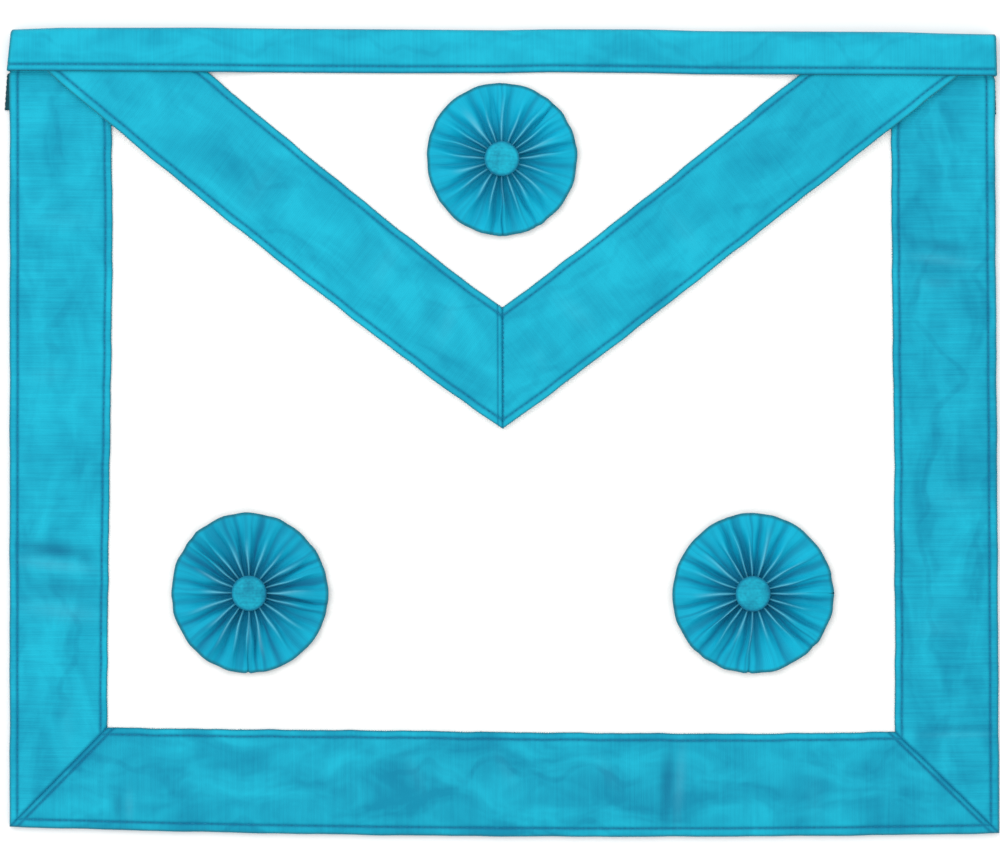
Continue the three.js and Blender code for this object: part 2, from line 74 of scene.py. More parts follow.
# Ribbon border
BORDER_WIDTH = 42
HEM_WIDTH = 8
FOLD_DEPTH = 2.2
FOLD_ROW = 3.5  # from the fold to the stitch row beside it
ROW_MARK = 0.66  # how far the painted shade along a stitch row reaches beside it
STITCH_INSET = 2.8  # from a woven edge to its stitch row
RIBBON_PUFF = 0.55  # height of the crown between two stitch rows
ROW_SINK = 0.34  # how deep a stitch row draws the ribbon down
ROW_RUN = 0.75  # and how far beside the row
EDGE_SINK = 0.42  # how far down a woven edge is pressed
EDGE_FADE = 0.8  # width of a woven edge's darker line: wear, and painted shade
SEAM_GAP = 0.02  # between two ribbons at a mitre or at the V's seam
SEAM_SINK = 0.5  # how deep a mitre or the V's seam lies
SEAM_RUN = 0.7  # and how far beside it
MITRE_ROW = 2.1  # from a mitre to the stitch row beside it

# Waistband
WAISTBAND_WIDTH = 17.9
BAND_ENDS = {"left": (-1.1, 0.7), "right": (0.1, 0.45)}  # past the side, at the top and at the lower edge

# Belt tabs
TAB_WIDTH = 31.4
TAB_LENGTH = 34
TAB_PROUD_LEFT = 2.1
TAB_PROUD_RIGHT = 0.55

# Flap
FLAP_DEPTH = 164.1
FLAP_INSET = 15.5
FLAP_RIBBON_WIDTH = 39.2
FLAP_RIBBON_SPREAD_LEFT = 7.5
FLAP_RIBBON_SPREAD_RIGHT = 4.2
SEAM_LIP = 1.9  # width of the left arm's turned end, which lies on the right arm's
FLAP_RIBBON_OVERHANG = 0.8

# Rosettes
FLAP_ROSETTE_RADIUS = 31.2
FLAP_ROSETTE_DROP = 53.4
LOWER_ROSETTE_RADIUS = 32.8
LOWER_ROSETTE_RISE = 98
LOWER_ROSETTE_OFFSET = 103.2
LOWER_ROSETTE_SHIFT = -0.6
PLEATS = 20
PLEAT_COLUMNS = 22  # grid columns in each pleat
PLEAT_HEIGHT = 5.2
RUFFLE_EYE = 3.2
RUFFLE_CLOTH = 0.7
BUTTON_RADIUS = 7.2
BUTTON_HEIGHT = 4.4
BUTTON_BACK = 0.78
BUTTON_RIM = 0.36
BUTTON_SEAT = 0.67

# Sewing
STITCH_PITCH = 2.5
STITCH_LENGTH = 2.0
THREAD = 0.36
PICOT_PITCH = 0.95
PICOT_REACH = 0.13
PICOT_HALF = 0.13  # half a loop's thickness
EDGE_DROP = 0.35  # from a ribbon's top down to its edge's loops

SIDE = APRON_WIDTH / 2
TOP = APRON_HEIGHT / 2
BOTTOM = -TOP
RIBBON_LAYER = RIBBON + CLOTH_GAP
LEATHER_LAYER = LEATHER + CLOTH_GAP
STACK = RIBBON_LAYER + LEATHER_LAYER + RIBBON
HEM_END = HEM_WIDTH + EASE
LAYERS_TOP = TOP - FOLD_DEPTH - CLOTH_GAP
TAB_EDGE = LAYERS_TOP - TAB_WIDTH
TAB_END = TOP - TAB_EDGE + EASE
LAYERS_SIDE = SIDE - FOLD_DEPTH - CLOTH_GAP
WAISTBAND_EDGE = TOP - WAISTBAND_WIDTH
FLAP_POINT = TOP - FLAP_DEPTH
FLAP_CORNER = SIDE - FLAP_INSET
FLAP_SLOPE = (WAISTBAND_EDGE - FLAP_POINT) / FLAP_CORNER
FLAP_CLIMB_END = SIDE - BORDER_WIDTH - EASE
INNER_ROW = BORDER_WIDTH - STITCH_INSET
BAND_ROW = WAISTBAND_EDGE + STITCH_INSET


def smooth(low, high, x):
    """0 below low, 1 above high, and an S-shaped rise between them."""
    share = np.clip((x - low) / (high - low), 0, 1)
    return share * share * (3 - 2 * share)


def lerp(a, b, share):
    """The value a share of the way from a to b."""
    return a + (b - a) * share


def hump(x, width):
    """A bell of height 1 at x = 0 that falls to about a third at width."""
    return np.exp(-((x / width) ** 2))


def waver(s, length, seed):
    """Slow unevenness between -1 and 1 along s: three sines whose lengths don't divide each other."""
    turn = 2 * np.pi * s / length
    slow, quicker = np.sin(turn + seed), np.sin(1.73 * turn + 2.1 * seed)
    return 0.5 * slow + 0.3 * quicker + 0.2 * np.sin(2.9 * turn + 3.7 * seed)


def hand_laid(x, y):
    """The flat pattern's point as laid by hand: the bottom bows down, the right side lies out and flares
    towards its foot, and the top and bottom edges tilt down to the right."""
    across = (x + SIDE) / APRON_WIDTH
    down = (TOP - y) / APRON_HEIGHT
    bow = BOTTOM_BOW * (1 - (x / SIDE) ** 2) * down
    tilt = LAID_TILT * across * (2 * down - 1) ** 2
    return x + SIDE_FLARE * across * down + RIGHT_EASE * smooth(105, 160, x), y - bow - tilt


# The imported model's origin is the middle of its box, so its panel's upper left corner gives the shift.
panel_low, panel_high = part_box("panel")
corner_x, corner_y = hand_laid(-LAYERS_SIDE, LAYERS_TOP)
SHIFT = np.array([panel_low.x - corner_x * MM, panel_high.y - corner_y * MM, 0])


def lay(points):
    """Points of the flat pattern, in millimetres, in their hand-laid places in the model's frame, in
    metres."""
    x, y = hand_laid(points[..., 0], points[..., 1])
    return np.stack([x, y, points[..., 2]], -1) * MM + SHIFT


# Heights. Each layer follows the one below it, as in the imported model.
def panel_under(x, y):
    """The leather panel's underside: on the floor in the middle, and one ribbon layer up where it rises
    on to the hems at its rim and on to the waistband's back leg and the belt tabs at its top."""
    side = 1 - smooth(HEM_END, HEM_END + RIM_RUN, SIDE - np.abs(x))
    bottom = 1 - smooth(HEM_END, HEM_END + RIM_RUN, y - BOTTOM)
    top = 1 - smooth(TAB_END, TAB_END + TOP_RUN, TOP - y)
    return RIBBON_LAYER * (1 - (1 - side) * (1 - bottom) * (1 - top))


def border_under(x, y):
    """One leather layer above the panel's underside."""
    return panel_under(x, y) + LEATHER_LAYER


def flap_under(x, y):
    """Level with the border's underside in the middle, and a ribbon higher where the flap lies on the
    border."""
    return border_under(x, y) + RIBBON_LAYER * smooth(FLAP_CLIMB_END - FLAP_RUN, FLAP_CLIMB_END, np.abs(x))


def flap_ribbon_under(x, y):
    """One leather layer above the flap's underside."""
    return flap_under(x, y) + LEATHER_LAYER


# How far each side of the flap's edge droops below a straight line from its point to its corner, read off
# the photograph at shares of the way.
DROOP_SHARES = [0, 0.05, 0.11, 0.22, 0.33, 0.44, 0.55, 0.66, 0.8, 1, 1.1]
DROOP_LEFT = [0, 1.1, 1.9, 2.75, 3.1, 3.3, 3.15, 2.8, 1.8, 0, -1]
DROOP_RIGHT = [0, 0.7, 1.25, 1.85, 2.15, 2.05, 1.8, 1.6, 0.9, 0, -0.6]


def flap_edge(x):
    """Height on the page of the flap's outer edge: on each side a straight slope from its point, less its
    droop."""
    share = np.abs(x) / FLAP_CORNER
    droops = [np.interp(share, DROOP_SHARES, droop) for droop in (DROOP_LEFT, DROOP_RIGHT)]
    return FLAP_POINT + FLAP_SLOPE * np.abs(x) - np.where(x < 0, *droops)


def flap_ribbon_line(x, share):
    """The same a share of the way across the flap's ribbon, which spreads towards the flap's corners."""
    at_point = FLAP_RIBBON_WIDTH * np.hypot(1, FLAP_SLOPE)
    spread = np.where(x < 0, FLAP_RIBBON_SPREAD_LEFT, FLAP_RIBBON_SPREAD_RIGHT)
    return flap_edge(x) + share * (at_point + spread * np.abs(x) / FLAP_CORNER)


def along_arm(across, y):
    """Distance along an arm of the V from its point, measured along the straight slope."""
    slope = np.arctan(FLAP_SLOPE)
    return across * np.cos(slope) + (y - FLAP_POINT) * np.sin(slope)


def ribbon_meets(y, share, sign):
    """Distance from the centre line, on the side given by sign, at which that line reaches the height y,
    found by halving."""
    low = np.zeros(np.shape(share))
    high = low + LAYERS_SIDE
    for _ in range(40):
        middle = (low + high) / 2
        below = flap_ribbon_line(sign * middle, share) < y
        low = np.where(below, middle, low)
        high = np.where(below, high, middle)
    return low


BAND_CLIMB_END = min(float(ribbon_meets(WAISTBAND_EDGE, 1.0, sign)) for sign in (-1, 1)) - EASE


def waistband_under(x):
    """The waistband's front leg lies on the flap, and a ribbon higher where the flap's ribbon runs in
    under it."""
    climb = smooth(BAND_CLIMB_END - BAND_RUN, BAND_CLIMB_END, np.abs(x))
    return flap_ribbon_under(x, WAISTBAND_EDGE) + RIBBON_LAYER * climb


# Meshes
def mesh_object(name, points, faces, corners=None, pattern=None, marks=None):
    """An object from points in metres and lists of corner numbers. pattern holds (u, v) in metres, read
    through corners for each face corner, and marks are named values from 0 to 1, one for each point."""
    mesh = bpy.data.meshes.new(name)
    mesh.from_pydata(points.tolist(), [], [face for part in faces for face in part.tolist()])
    mesh.polygons.foreach_set("use_smooth", np.ones(len(mesh.polygons), bool))
    if pattern is not None:
        layer = mesh.uv_layers.new(name="pattern")
        layer.data.foreach_set("uv", pattern[corners].astype(np.float32).ravel())
    for mark, values in (marks or {}).items():
        attribute = mesh.attributes.new(mark, "FLOAT", "POINT")
        attribute.data.foreach_set("value", values.astype(np.float32).ravel())
    mesh.update()
    piece = bpy.data.objects.new(name, mesh)
    bpy.context.scene.collection.objects.link(piece)
    return piece


def cloth_wall(name, face, back, pattern, marks, ring=False):
    """A closed piece of cloth between two grids of pattern points, face and back, joined along their
    edges. A ring closes on itself in its columns, and its pattern then has one column more. Its faces are
    turned outwards by the sign of the volume that they enclose."""
    columns, rows = face.shape[:2]
    count = columns * rows
    i = np.arange(columns if ring else columns - 1)[:, None]
    j = np.arange(rows - 1)[None, :]
    a, b, c, d = [((i + di) * rows + j + dj).ravel() for di, dj in ((0, 0), (1, 0), (1, 1), (0, 1))]
    zero = np.zeros_like(a)
    numbers = [np.stack([a, b, c, d], 1), np.stack([a, d, c, b], 1)]
    sides = [np.stack([zero] * 4, 1), np.stack([zero + 1] * 4, 1)]
    rims = [(np.arange(columns + ring) * rows, False), (np.arange(columns + ring) * rows + rows - 1, True)]
    if not ring:
        rims += [(np.arange(rows), True), (np.arange(rows) + (columns - 1) * rows, False)]
    for line, turned in rims:
        start, end = line[:-1], line[1:]
        low, high = np.zeros_like(start), np.ones_like(start)
        if turned:
            numbers.append(np.stack([start, end, end, start], 1))
            sides.append(np.stack([low, low, high, high], 1))
        else:
            numbers.append(np.stack([start, start, end, end], 1))
            sides.append(np.stack([low, high, high, low], 1))
    numbers, sides = np.concatenate(numbers), np.concatenate(sides)
    faces = numbers % count + sides * count
    points = lay(np.concatenate([face.reshape(-1, 3), back.reshape(-1, 3)]))
    if volume_within(points, faces) < 0:
        faces, numbers = faces[:, ::-1], numbers[:, ::-1]
    doubled = {mark: np.concatenate([values.ravel(), values.ravel()]) for mark, values in marks.items()}
    return mesh_object(name, points, [faces], numbers.ravel(), pattern.reshape(-1, 2) * MM, doubled)


def volume_within(points, quads):
    """The volume that a closed shell of quads encloses, with its sign, in triangles from the origin."""
    p, q, r, s = (points[quads[:, k]] for k in range(4))
    return np.einsum("ij,ij", p, np.cross(q, r)) + np.einsum("ij,ij", p, np.cross(r, s))


def points_of(x, y, z):
    """x, y and z as one array of points, each spread to the shape of all three."""
    return np.stack(np.broadcast_arrays(x, y, z), -1)


def arc_length(points):
    """Distance along a line of points, from 0 at its first."""
    return np.concatenate([[0], np.cumsum(np.linalg.norm(np.diff(points, axis=0), axis=1))])


# Puckers of the ribbons, read off the photograph: how far along the strip and in from its fold,
# how far each reaches that way, how far it runs along the strip, how deep it is, and how it slants.
PUCKERS = {
    "left": [
        dict(along=-51.0, inward=19, reach=14, run=3.6, depth=0.68, slant=-0.1),
        dict(along=-53.5, inward=31, reach=5, run=2.8, depth=0.4, slant=-0.1),
        dict(along=-67.0, inward=22, reach=15, run=5.6, depth=0.46, slant=-0.1),
        dict(along=-97, inward=25, reach=2.6, run=17, depth=0.12, slant=0),
        dict(along=30, inward=16, reach=9, run=5.5, depth=0.14, slant=0.1),
        dict(along=96, inward=22, reach=12, run=7, depth=0.14, slant=0),
    ],
    "right": [
        dict(along=74.8, inward=22, reach=12, run=3.4, depth=0.5, slant=0.12),
        dict(along=66, inward=24, reach=9, run=4.0, depth=0.2, slant=0),
        dict(along=-122.5, inward=15, reach=17, run=1.6, depth=0.35, slant=0),
        dict(along=-20, inward=18, reach=10, run=6, depth=0.12, slant=0.1),
        dict(along=-74, inward=24, reach=9, run=5, depth=0.15, slant=0),
    ],
    "bottom": [
        dict(along=67.8, inward=22, reach=13.5, run=3.0, depth=0.6, slant=0.08),
        dict(along=-157.5, inward=10, reach=6, run=2.6, depth=0.4, slant=0),
        dict(along=-6, inward=27, reach=7, run=4.5, depth=0.16, slant=-0.5),
        dict(along=-44, inward=25, reach=7, run=5, depth=0.14, slant=-0.4),
        dict(along=35, inward=26, reach=7, run=5, depth=0.14, slant=-0.5),
        dict(along=120, inward=16, reach=9, run=5, depth=0.1, slant=0),
    ],
    "arm_left": [
        dict(along=52, inward=22, reach=9, run=5, depth=0.22, slant=0.3),
        dict(along=88, inward=24, reach=10, run=6, depth=0.16, slant=0.2),
        dict(along=150, inward=18, reach=9, run=7, depth=0.12, slant=0),
    ],
    "arm_right": [
        dict(along=62, inward=20, reach=9, run=6, depth=0.2, slant=-0.2),
        dict(along=118, inward=20, reach=10, run=6, depth=0.14, slant=0),
        dict(along=36, inward=14, reach=5, run=4, depth=0.12, slant=0.2),
    ],
    "band": [],
}


def puckered(strip, along, inward):
    """Height that a strip's puckers add, and how far inside a hollow and on a ridge a point is, each from
    0 to 1. Across its run a pucker is a hollow between two low ridges, and both fade out like a bell over
    its reach. The two shares are masks for painted light: painted shade in the hollow, set a little towards
    its upper or left side, and a painted highlight on the ridge on its lower or right side, which faces the
    light."""
    height = np.zeros(np.broadcast(along, inward).shape)
    inside, ridge = np.zeros_like(height), np.zeros_like(height)
    # side points to the side of a pucker that faces the light: the right on the bottom ribbon, the lower side
    # elsewhere.
    side = 1 if strip == "bottom" else -1
    for pucker in PUCKERS[strip]:
        lean = pucker["slant"] * (inward - pucker["inward"])
        off = (along - pucker["along"] - lean) / pucker["run"]
        fade = hump(inward - pucker["inward"], pucker["reach"])
        height -= pucker["depth"] * fade * (1 - 1.1 * off**2) * hump(off, 1)
        # Painted shade in the hollow, and a painted highlight on the ridge on the lit side.
        inside = np.maximum(inside, pucker["depth"] * fade * hump(off + 0.2 * side, 0.9))
        ridge = np.maximum(ridge, 0.35 * pucker["depth"] * fade * hump(off - 1.5 * side, 0.6))
    return height, np.clip(1.3 * inside, 0, 1), np.clip(ridge, 0, 1)


def gathered(along, inward, row, seed):
    """Small soft waves that sewing draws up beside a stitch row: a waver along it that fades away from it."""
    off = inward - row
    return 0.07 * waver(along, 17, seed) * hump(off, 5) + 0.04 * waver(along, 7.3, seed + 1) * hump(off, 3)


def row_marks(inward, rows):
    """Where the painted shade of stitch rows lies: 1 on a row, falling to about a third at ROW_MARK beside
    it.
    """
    return sum(hump(inward - row, ROW_MARK) for row in rows)


# How much wider than BORDER_WIDTH each ribbon lies, at places along it.
SPREADS = {
    "left": ([-165, -100, -40, 20, 75, 120, 165], [-1.9, -1.9, -1.2, -0.3, 0.4, 0.1, 0]),
    "right": ([-165, -112, -92, -66, -38, -9, 19, 73, 165], [0.4, 0.7, 0.3, 0.4, 0.5, 0.2, 0.6, 0.8, 1.0]),
    "bottom": (
        [-203, -130, -83, -40, 0, 20, 60, 100, 143, 203],
        [-0.2, 0, 0.3, 0.4, 0, -0.1, -0.4, -0.8, -0.7, -0.4],
    ),
}


def spread_of(strip, along):
    """A border ribbon's laid width as a share of BORDER_WIDTH, read between the table's places."""
    return 1 + np.interp(along, *SPREADS[strip]) / BORDER_WIDTH


def mitre_height(strip, inward):
    """Height on the page of a side ribbon's mitre, as wide as the bottom ribbon lies there."""
    sign = -1 if strip == "left" else 1
    return BOTTOM + inward * spread_of("bottom", sign * (SIDE - inward))


def from_mitre(strip, inward, along):
    """Distance of a point from its ribbon's nearest mitre, measured square to the mitre."""
    if strip != "bottom":
        return (along - mitre_height(strip, inward)) / np.sqrt(2)
    left = along + SIDE - inward * spread_of("left", BOTTOM)
    right = SIDE - inward * spread_of("right", BOTTOM) - along
    return np.minimum(left, right) / np.sqrt(2)


def border_face(strip, x, y, inward, along):
    """Top of a border ribbon: a ribbon above its underside, crowned between its two stitch rows, drawn
    down along the rows and at the mitres, pressed down at the woven edge, and puckered."""
    off_middle = 2 * (inward - FOLD_ROW) / (INNER_ROW - FOLD_ROW) - 1
    crown = RIBBON_PUFF * np.clip(1 - off_middle**4, 0, 1)
    if strip != "bottom":
        crown = crown * (1 - smooth(TOP - TAB_END - TOP_RUN, TOP - TAB_END - TOP_RUN / 4, along))
    drawn = ROW_SINK * hump(inward - FOLD_ROW, ROW_RUN) + ROW_SINK * hump(inward - INNER_ROW, ROW_RUN)
    pressed = EDGE_SINK * smooth(INNER_ROW + 0.6, BORDER_WIDTH, inward)
    seed = len(strip)
    waves = gathered(along, inward, INNER_ROW, seed) + gathered(along, inward, FOLD_ROW, seed + 2)
    height, _, _ = puckered(strip, along, inward)
    mitre = from_mitre(strip, inward, along)
    drawn = np.maximum(drawn, SEAM_SINK * hump(mitre, SEAM_RUN))
    drawn = np.maximum(drawn, 0.4 * hump(mitre - MITRE_ROW, 0.5) * (strip == "bottom"))
    clear = smooth(FOLD_DEPTH, FOLD_ROW, inward)
    return border_under(x, y) + RIBBON + crown - (drawn + pressed - waves - height) * clear


def border_place(strip, inward, along):
    """The point on the page at one distance in from a border's fold. Inside the waistband the fold is
    drawn in, by a slope that fades out over the first few millimetres of the ribbon."""
    wide = inward * spread_of(strip, along)
    if strip == "bottom":
        return along + 0 * wide, BOTTOM + wide + 0 * along
    top, foot = BAND_ENDS[strip]
    up = np.clip((along - WAISTBAND_EDGE) / WAISTBAND_WIDTH, 0, 1)
    room = CLOSE_WALL + CLOTH_GAP - lerp(foot, top, up)
    drawn_in = room * smooth(WAISTBAND_EDGE - 2, WAISTBAND_EDGE + 0.5, along) * (1 - smooth(0.5, 9, inward))
    sign = -1 if strip == "left" else 1
    return sign * (SIDE - wide - drawn_in), along + 0 * wide


def border_section():
    """A border ribbon's cross-section from its hem's edge round the fold to its woven edge: distance in
    from the fold and height, outside and inside, and which of its points are hem and which are front."""
    hem = np.linspace(HEM_WIDTH, FOLD_DEPTH, 6)[:-1]
    turn = np.radians(np.linspace(-90, 90, 15))
    middle = np.linspace(6, BORDER_WIDTH - 6, 30)[1:]
    front = [np.linspace(FOLD_DEPTH, 6, 13)[1:], middle, np.linspace(BORDER_WIDTH - 6, BORDER_WIDTH, 18)[1:]]
    front = np.concatenate(front)
    face_in = np.concatenate([hem, FOLD_DEPTH * (1 - np.cos(turn)), front])
    back_in = np.concatenate([hem, FOLD_DEPTH - (FOLD_DEPTH - RIBBON) * np.cos(turn), front])
    face_up = np.concatenate([0 * hem, STACK / 2 * (1 + np.sin(turn)), 0 * front + STACK])
    back_up = np.concatenate([0 * hem + RIBBON, STACK / 2 + (STACK / 2 - RIBBON) * np.sin(turn), 0 * front])
    is_hem = np.arange(len(face_in)) < len(hem)
    is_front = np.arange(len(face_in)) >= len(hem) + len(turn)
    return (face_in, face_up), (back_in, back_up), is_hem, is_front


def border_strip(strip, ends, tab_side):
    """A border ribbon from its hem's edge round the fold to its woven edge. Across it, the hem is flat on
    the floor, the fold half an ellipse and the front border_face. ends(inward) gives the two ends along
    it. On a tab side the hem ends below the tab and the fold rises over it."""
    (face_in, face_up), (back_in, back_up), is_hem, is_front = border_section()
    length = APRON_WIDTH if strip == "bottom" else APRON_HEIGHT
    near = np.linspace(0, 5.6, 15) / length
    stations = [near[:-1], np.linspace(near[-1], 1 - near[-1], int(length / 1.45)), (1 - near[:-1])[::-1]]
    stations = np.concatenate(stations)[None, :]

    def spread(inward):
        low, high = ends(inward)
        if tab_side:
            high = np.where(is_hem, TAB_EDGE - CLOTH_GAP, high)
        return low[:, None] + (high - low)[:, None] * stations

    along = spread(face_in)
    back_along = spread(back_in)
    inward = face_in[:, None] + 0 * along
    # The woven edge and the fold both wander a little, as cut and pressed by hand.
    wander = 0.22 * waver(along, 31, 2) * smooth(30, BORDER_WIDTH, inward)
    wander += 0.16 * waver(along, 47, 5) * (1 - smooth(0, 6, inward)) * ~is_hem[:, None]
    x, y = border_place(strip, inward + wander, along)
    back_x, back_y = border_place(strip, back_in[:, None] + wander, back_along)
    room = RIBBON_LAYER * smooth(TAB_EDGE - 5, TAB_EDGE - 0.5, along) * tab_side
    fold_up = room * ~is_hem[:, None] + face_up[:, None] * (STACK - room) / STACK
    fold_back = room * ~is_hem[:, None] + back_up[:, None] * (STACK - room) / STACK
    lie = LIE * smooth(FOLD_DEPTH, FOLD_DEPTH + 3, inward)
    face = np.where(is_front[:, None], border_face(strip, x, y, inward, along), fold_up)
    back = np.where(is_front[:, None], border_under(x, y) - lie, fold_back)
    across = arc_length(np.stack([face_in, face_up], 1))
    across = across - across[is_hem.sum()]
    _, inside, ridge = puckered(strip, along, inward)
    mitre = from_mitre(strip, inward, along)
    seams = hump(mitre, 0.8) + hump(mitre - MITRE_ROW, 0.7) * (strip == "bottom")
    rows = row_marks(inward, (FOLD_ROW, INNER_ROW)) * is_front[:, None]
    woven_edge = smooth(BORDER_WIDTH - EDGE_FADE, BORDER_WIDTH, inward)
    # Marks for painted colour: edge greys the woven edge and the fold's outer side, for wear and painted
    # shade; row is painted shade along the stitch rows and at the mitres; shade is painted shade in the
    # puckers' hollows, and crest a painted highlight on their lit ridges.
    marks = {
        "edge": np.maximum(woven_edge, 0.9 * (1 - smooth(0.1, 1.3, inward))),
        "row": np.maximum(rows, seams),
        "shade": inside * is_front[:, None],
        "crest": ridge * is_front[:, None],
    }
    pattern = points_of(along, across[:, None], 0)[..., :2]
    outside, inner_side = points_of(x, y, face), points_of(back_x, back_y, back)
    return cloth_wall(f"ribbon_{strip}", outside, inner_side, pattern, marks)


def side_border(strip):
    """A border ribbon up one side of the apron, from its mitre into the waistband's fold."""

    def ends(inward):
        return mitre_height(strip, inward) + SEAM_GAP, 0 * inward + LAYERS_TOP

    return border_strip(strip, ends, True)


def bottom_border():
    """The border ribbon along the foot, mitred at both ends to meet the side ribbons as wide as they lie
    there."""

    def ends(inward):
        left = inward * spread_of("left", BOTTOM) + SEAM_GAP - SIDE
        return left, SIDE - inward * spread_of("right", BOTTOM) - SEAM_GAP

    return border_strip("bottom", ends, False)


def leather_panel():
    """The leather sheet, one leather thick, on panel_under."""
    x = np.linspace(-LAYERS_SIDE, LAYERS_SIDE, 160)[:, None]
    y = np.linspace(BOTTOM + FOLD_DEPTH + CLOTH_GAP, LAYERS_TOP, 130)[None, :]
    under = panel_under(x, y)
    face, back = points_of(x, y, under + LEATHER), points_of(x, y, under)
    return cloth_wall("leather_panel", face, back, face[..., :2], {})


def leather_flap():
    """The pointed leather flap on flap_under: x from side to side, and y from its bowed edge up into the
    waistband."""
    x = np.linspace(-LAYERS_SIDE, LAYERS_SIDE, 201)[:, None]
    low = flap_edge(x) + FLAP_RIBBON_OVERHANG
    y = lerp(low, LAYERS_TOP, np.linspace(0, 1, 80)[None, :])
    under = flap_under(x, y)
    face, back = points_of(x, y, under + LEATHER), points_of(x, y, under - LIE)
    return cloth_wall("leather_flap", face, back, face[..., :2], {})


def flap_ribbon_face(arm, x, y, inward, along):
    """Top of an arm of the V: a ribbon above its underside, crowned between its stitch rows until it runs
    in under the waistband, drawn down along the rows and at the seam, and pressed down at both woven
    edges."""
    width = FLAP_RIBBON_WIDTH
    off_middle = 2 * (inward - STITCH_INSET) / (width - 2 * STITCH_INSET) - 1
    fade_end = WAISTBAND_EDGE - 3 * EASE
    crown = RIBBON_PUFF * np.clip(1 - off_middle**4, 0, 1) * (1 - smooth(fade_end - BAND_RUN, fade_end, y))
    rows = (STITCH_INSET, width - STITCH_INSET)
    drawn = sum(ROW_SINK * hump(inward - row, ROW_RUN) for row in rows)
    pressed = EDGE_SINK * (1 - smooth(0, rows[0] - 0.6, inward))
    pressed = pressed + EDGE_SINK * smooth(rows[1] + 0.6, width, inward)
    seam = SEAM_SINK * hump(np.abs(x), SEAM_RUN)
    seam = seam + 0.3 * hump(np.abs(x) - SEAM_LIP, 0.45) * (arm == "arm_left")
    seed = len(arm)
    waves = gathered(along, inward, rows[0], seed) + gathered(along, inward, rows[1], seed + 2)
    height, _, _ = puckered(arm, along, inward)
    return flap_ribbon_under(x, y) + RIBBON + (crown - drawn + waves + height) - pressed - seam


def flap_ribbon(arm, sign):
    """One arm of the V. Its lines run along the flap's edge at shares of the ribbon's width, from the
    seam on the centre line until they reach the waistband's fold."""
    width = FLAP_RIBBON_WIDTH
    inward = [np.linspace(0, 5, 13), np.linspace(5, width - 5, 28)[1:], np.linspace(width - 5, width, 13)[1:]]
    inward = np.concatenate(inward)[:, None]
    end = ribbon_meets(LAYERS_TOP, inward / width, sign)
    near = np.concatenate([np.linspace(0, 0.02, 11)[:-1], np.linspace(0.02, 1, 150)])
    across = lerp(SEAM_GAP / 2, end, near[None, :])
    y = flap_ribbon_line(sign * across, inward / width)
    along = along_arm(across, y)
    wander = 0.3 * waver(along, 37, sign + 3) * (smooth(width - 8, width, inward) - 1 + smooth(0, 8, inward))
    wander = wander * smooth(2, 12, across)
    top = flap_ribbon_face(arm, across, y, inward, along)
    under = flap_ribbon_under(across, y) - LIE
    _, inside, ridge = puckered(arm, along, inward)
    lip = hump(across - SEAM_LIP, 0.35) * (arm == "arm_left")
    woven_edges = np.maximum(smooth(width - EDGE_FADE, width, inward), 1 - smooth(0, EDGE_FADE, inward))
    # Marks for painted colour: edge greys both woven edges, for wear and painted shade; row is painted shade
    # along the stitch rows, the seam and the left arm's turned end; shade and crest are the puckers' painted
    # shade and painted highlight.
    marks = {
        "edge": woven_edges + 0 * top,
        "row": row_marks(inward, (STITCH_INSET, width - STITCH_INSET)) + hump(across, 0.5) + lip,
        "shade": inside,
        "crest": ridge,
    }
    face = points_of(sign * across, y + wander, top)
    back = points_of(sign * across, y + wander, under)
    return cloth_wall(f"ribbon_{arm}", face, back, points_of(along, inward, 0)[..., :2], marks)


# How far the waistband lies above its straight line, read off the photograph: at its fold and at its
# lower edge.
BAND_LINES = {
    "fold": (
        [-203, -199, -182, -153, -124, -83, -42, 0, 20, 61, 82, 123, 164, 180, 197],
        [-0.9, -0.7, 0.05, 0.25, 0.55, 0.35, 0.4, 0.35, 0.9, 1.1, 0.6, 0.6, 0.6, 0.15, -0.1],
    ),
    "foot": ([-104, -42, 0, 20, 40, 61, 82, 123, 200], [0, 0, 0.3, 0.8, 0.7, 0.6, 0.2, 0.15, 0]),
}


def band_line(x, y):
    """How far a point of the waistband is shifted up: between its two lines, by its share of the way up."""
    share = np.clip((y - WAISTBAND_EDGE) / WAISTBAND_WIDTH, 0, 1)
    return lerp(np.interp(x, *BAND_LINES["foot"]), np.interp(x, *BAND_LINES["fold"]), share)


def waistband_face(x, y):
    """Top of the waistband's front leg: level across its width, with a low crown above the stitch row,
    drawn down along the row, and with a lip below it that stands up again."""
    height = waistband_under(x) + RIBBON
    off_middle = 2 * (y - BAND_ROW) / (TOP - FOLD_DEPTH - BAND_ROW) - 1
    crown = 0.22 * np.clip(1 - off_middle**4, 0, 1)
    drawn = 0.4 * hump(y - BAND_ROW, 0.8)
    lip = 0.1 * (1 - smooth(WAISTBAND_EDGE + 0.4, BAND_ROW, y)) - 0.3 * hump(y - WAISTBAND_EDGE, 0.35)
    inward = TOP - y
    waves = gathered(x, inward, TOP - BAND_ROW, 6) + 0.08 * waver(x, 46, 4) * smooth(3, 9, inward)
    return height + crown - drawn + lip + waves * smooth(FOLD_DEPTH, FOLD_DEPTH + 2, inward)


def waistband_end(strip, y):
    """How far from the centre line one of the waistband's slanting ends lies, with its upper corner
    rounded off."""
    top, foot = BAND_ENDS[strip]
    slanting = lerp(foot, top, (y - WAISTBAND_EDGE) / WAISTBAND_WIDTH)
    return SIDE + slanting - 0.7 * smooth(TOP - 2.4, TOP + 0.6, y) ** 2


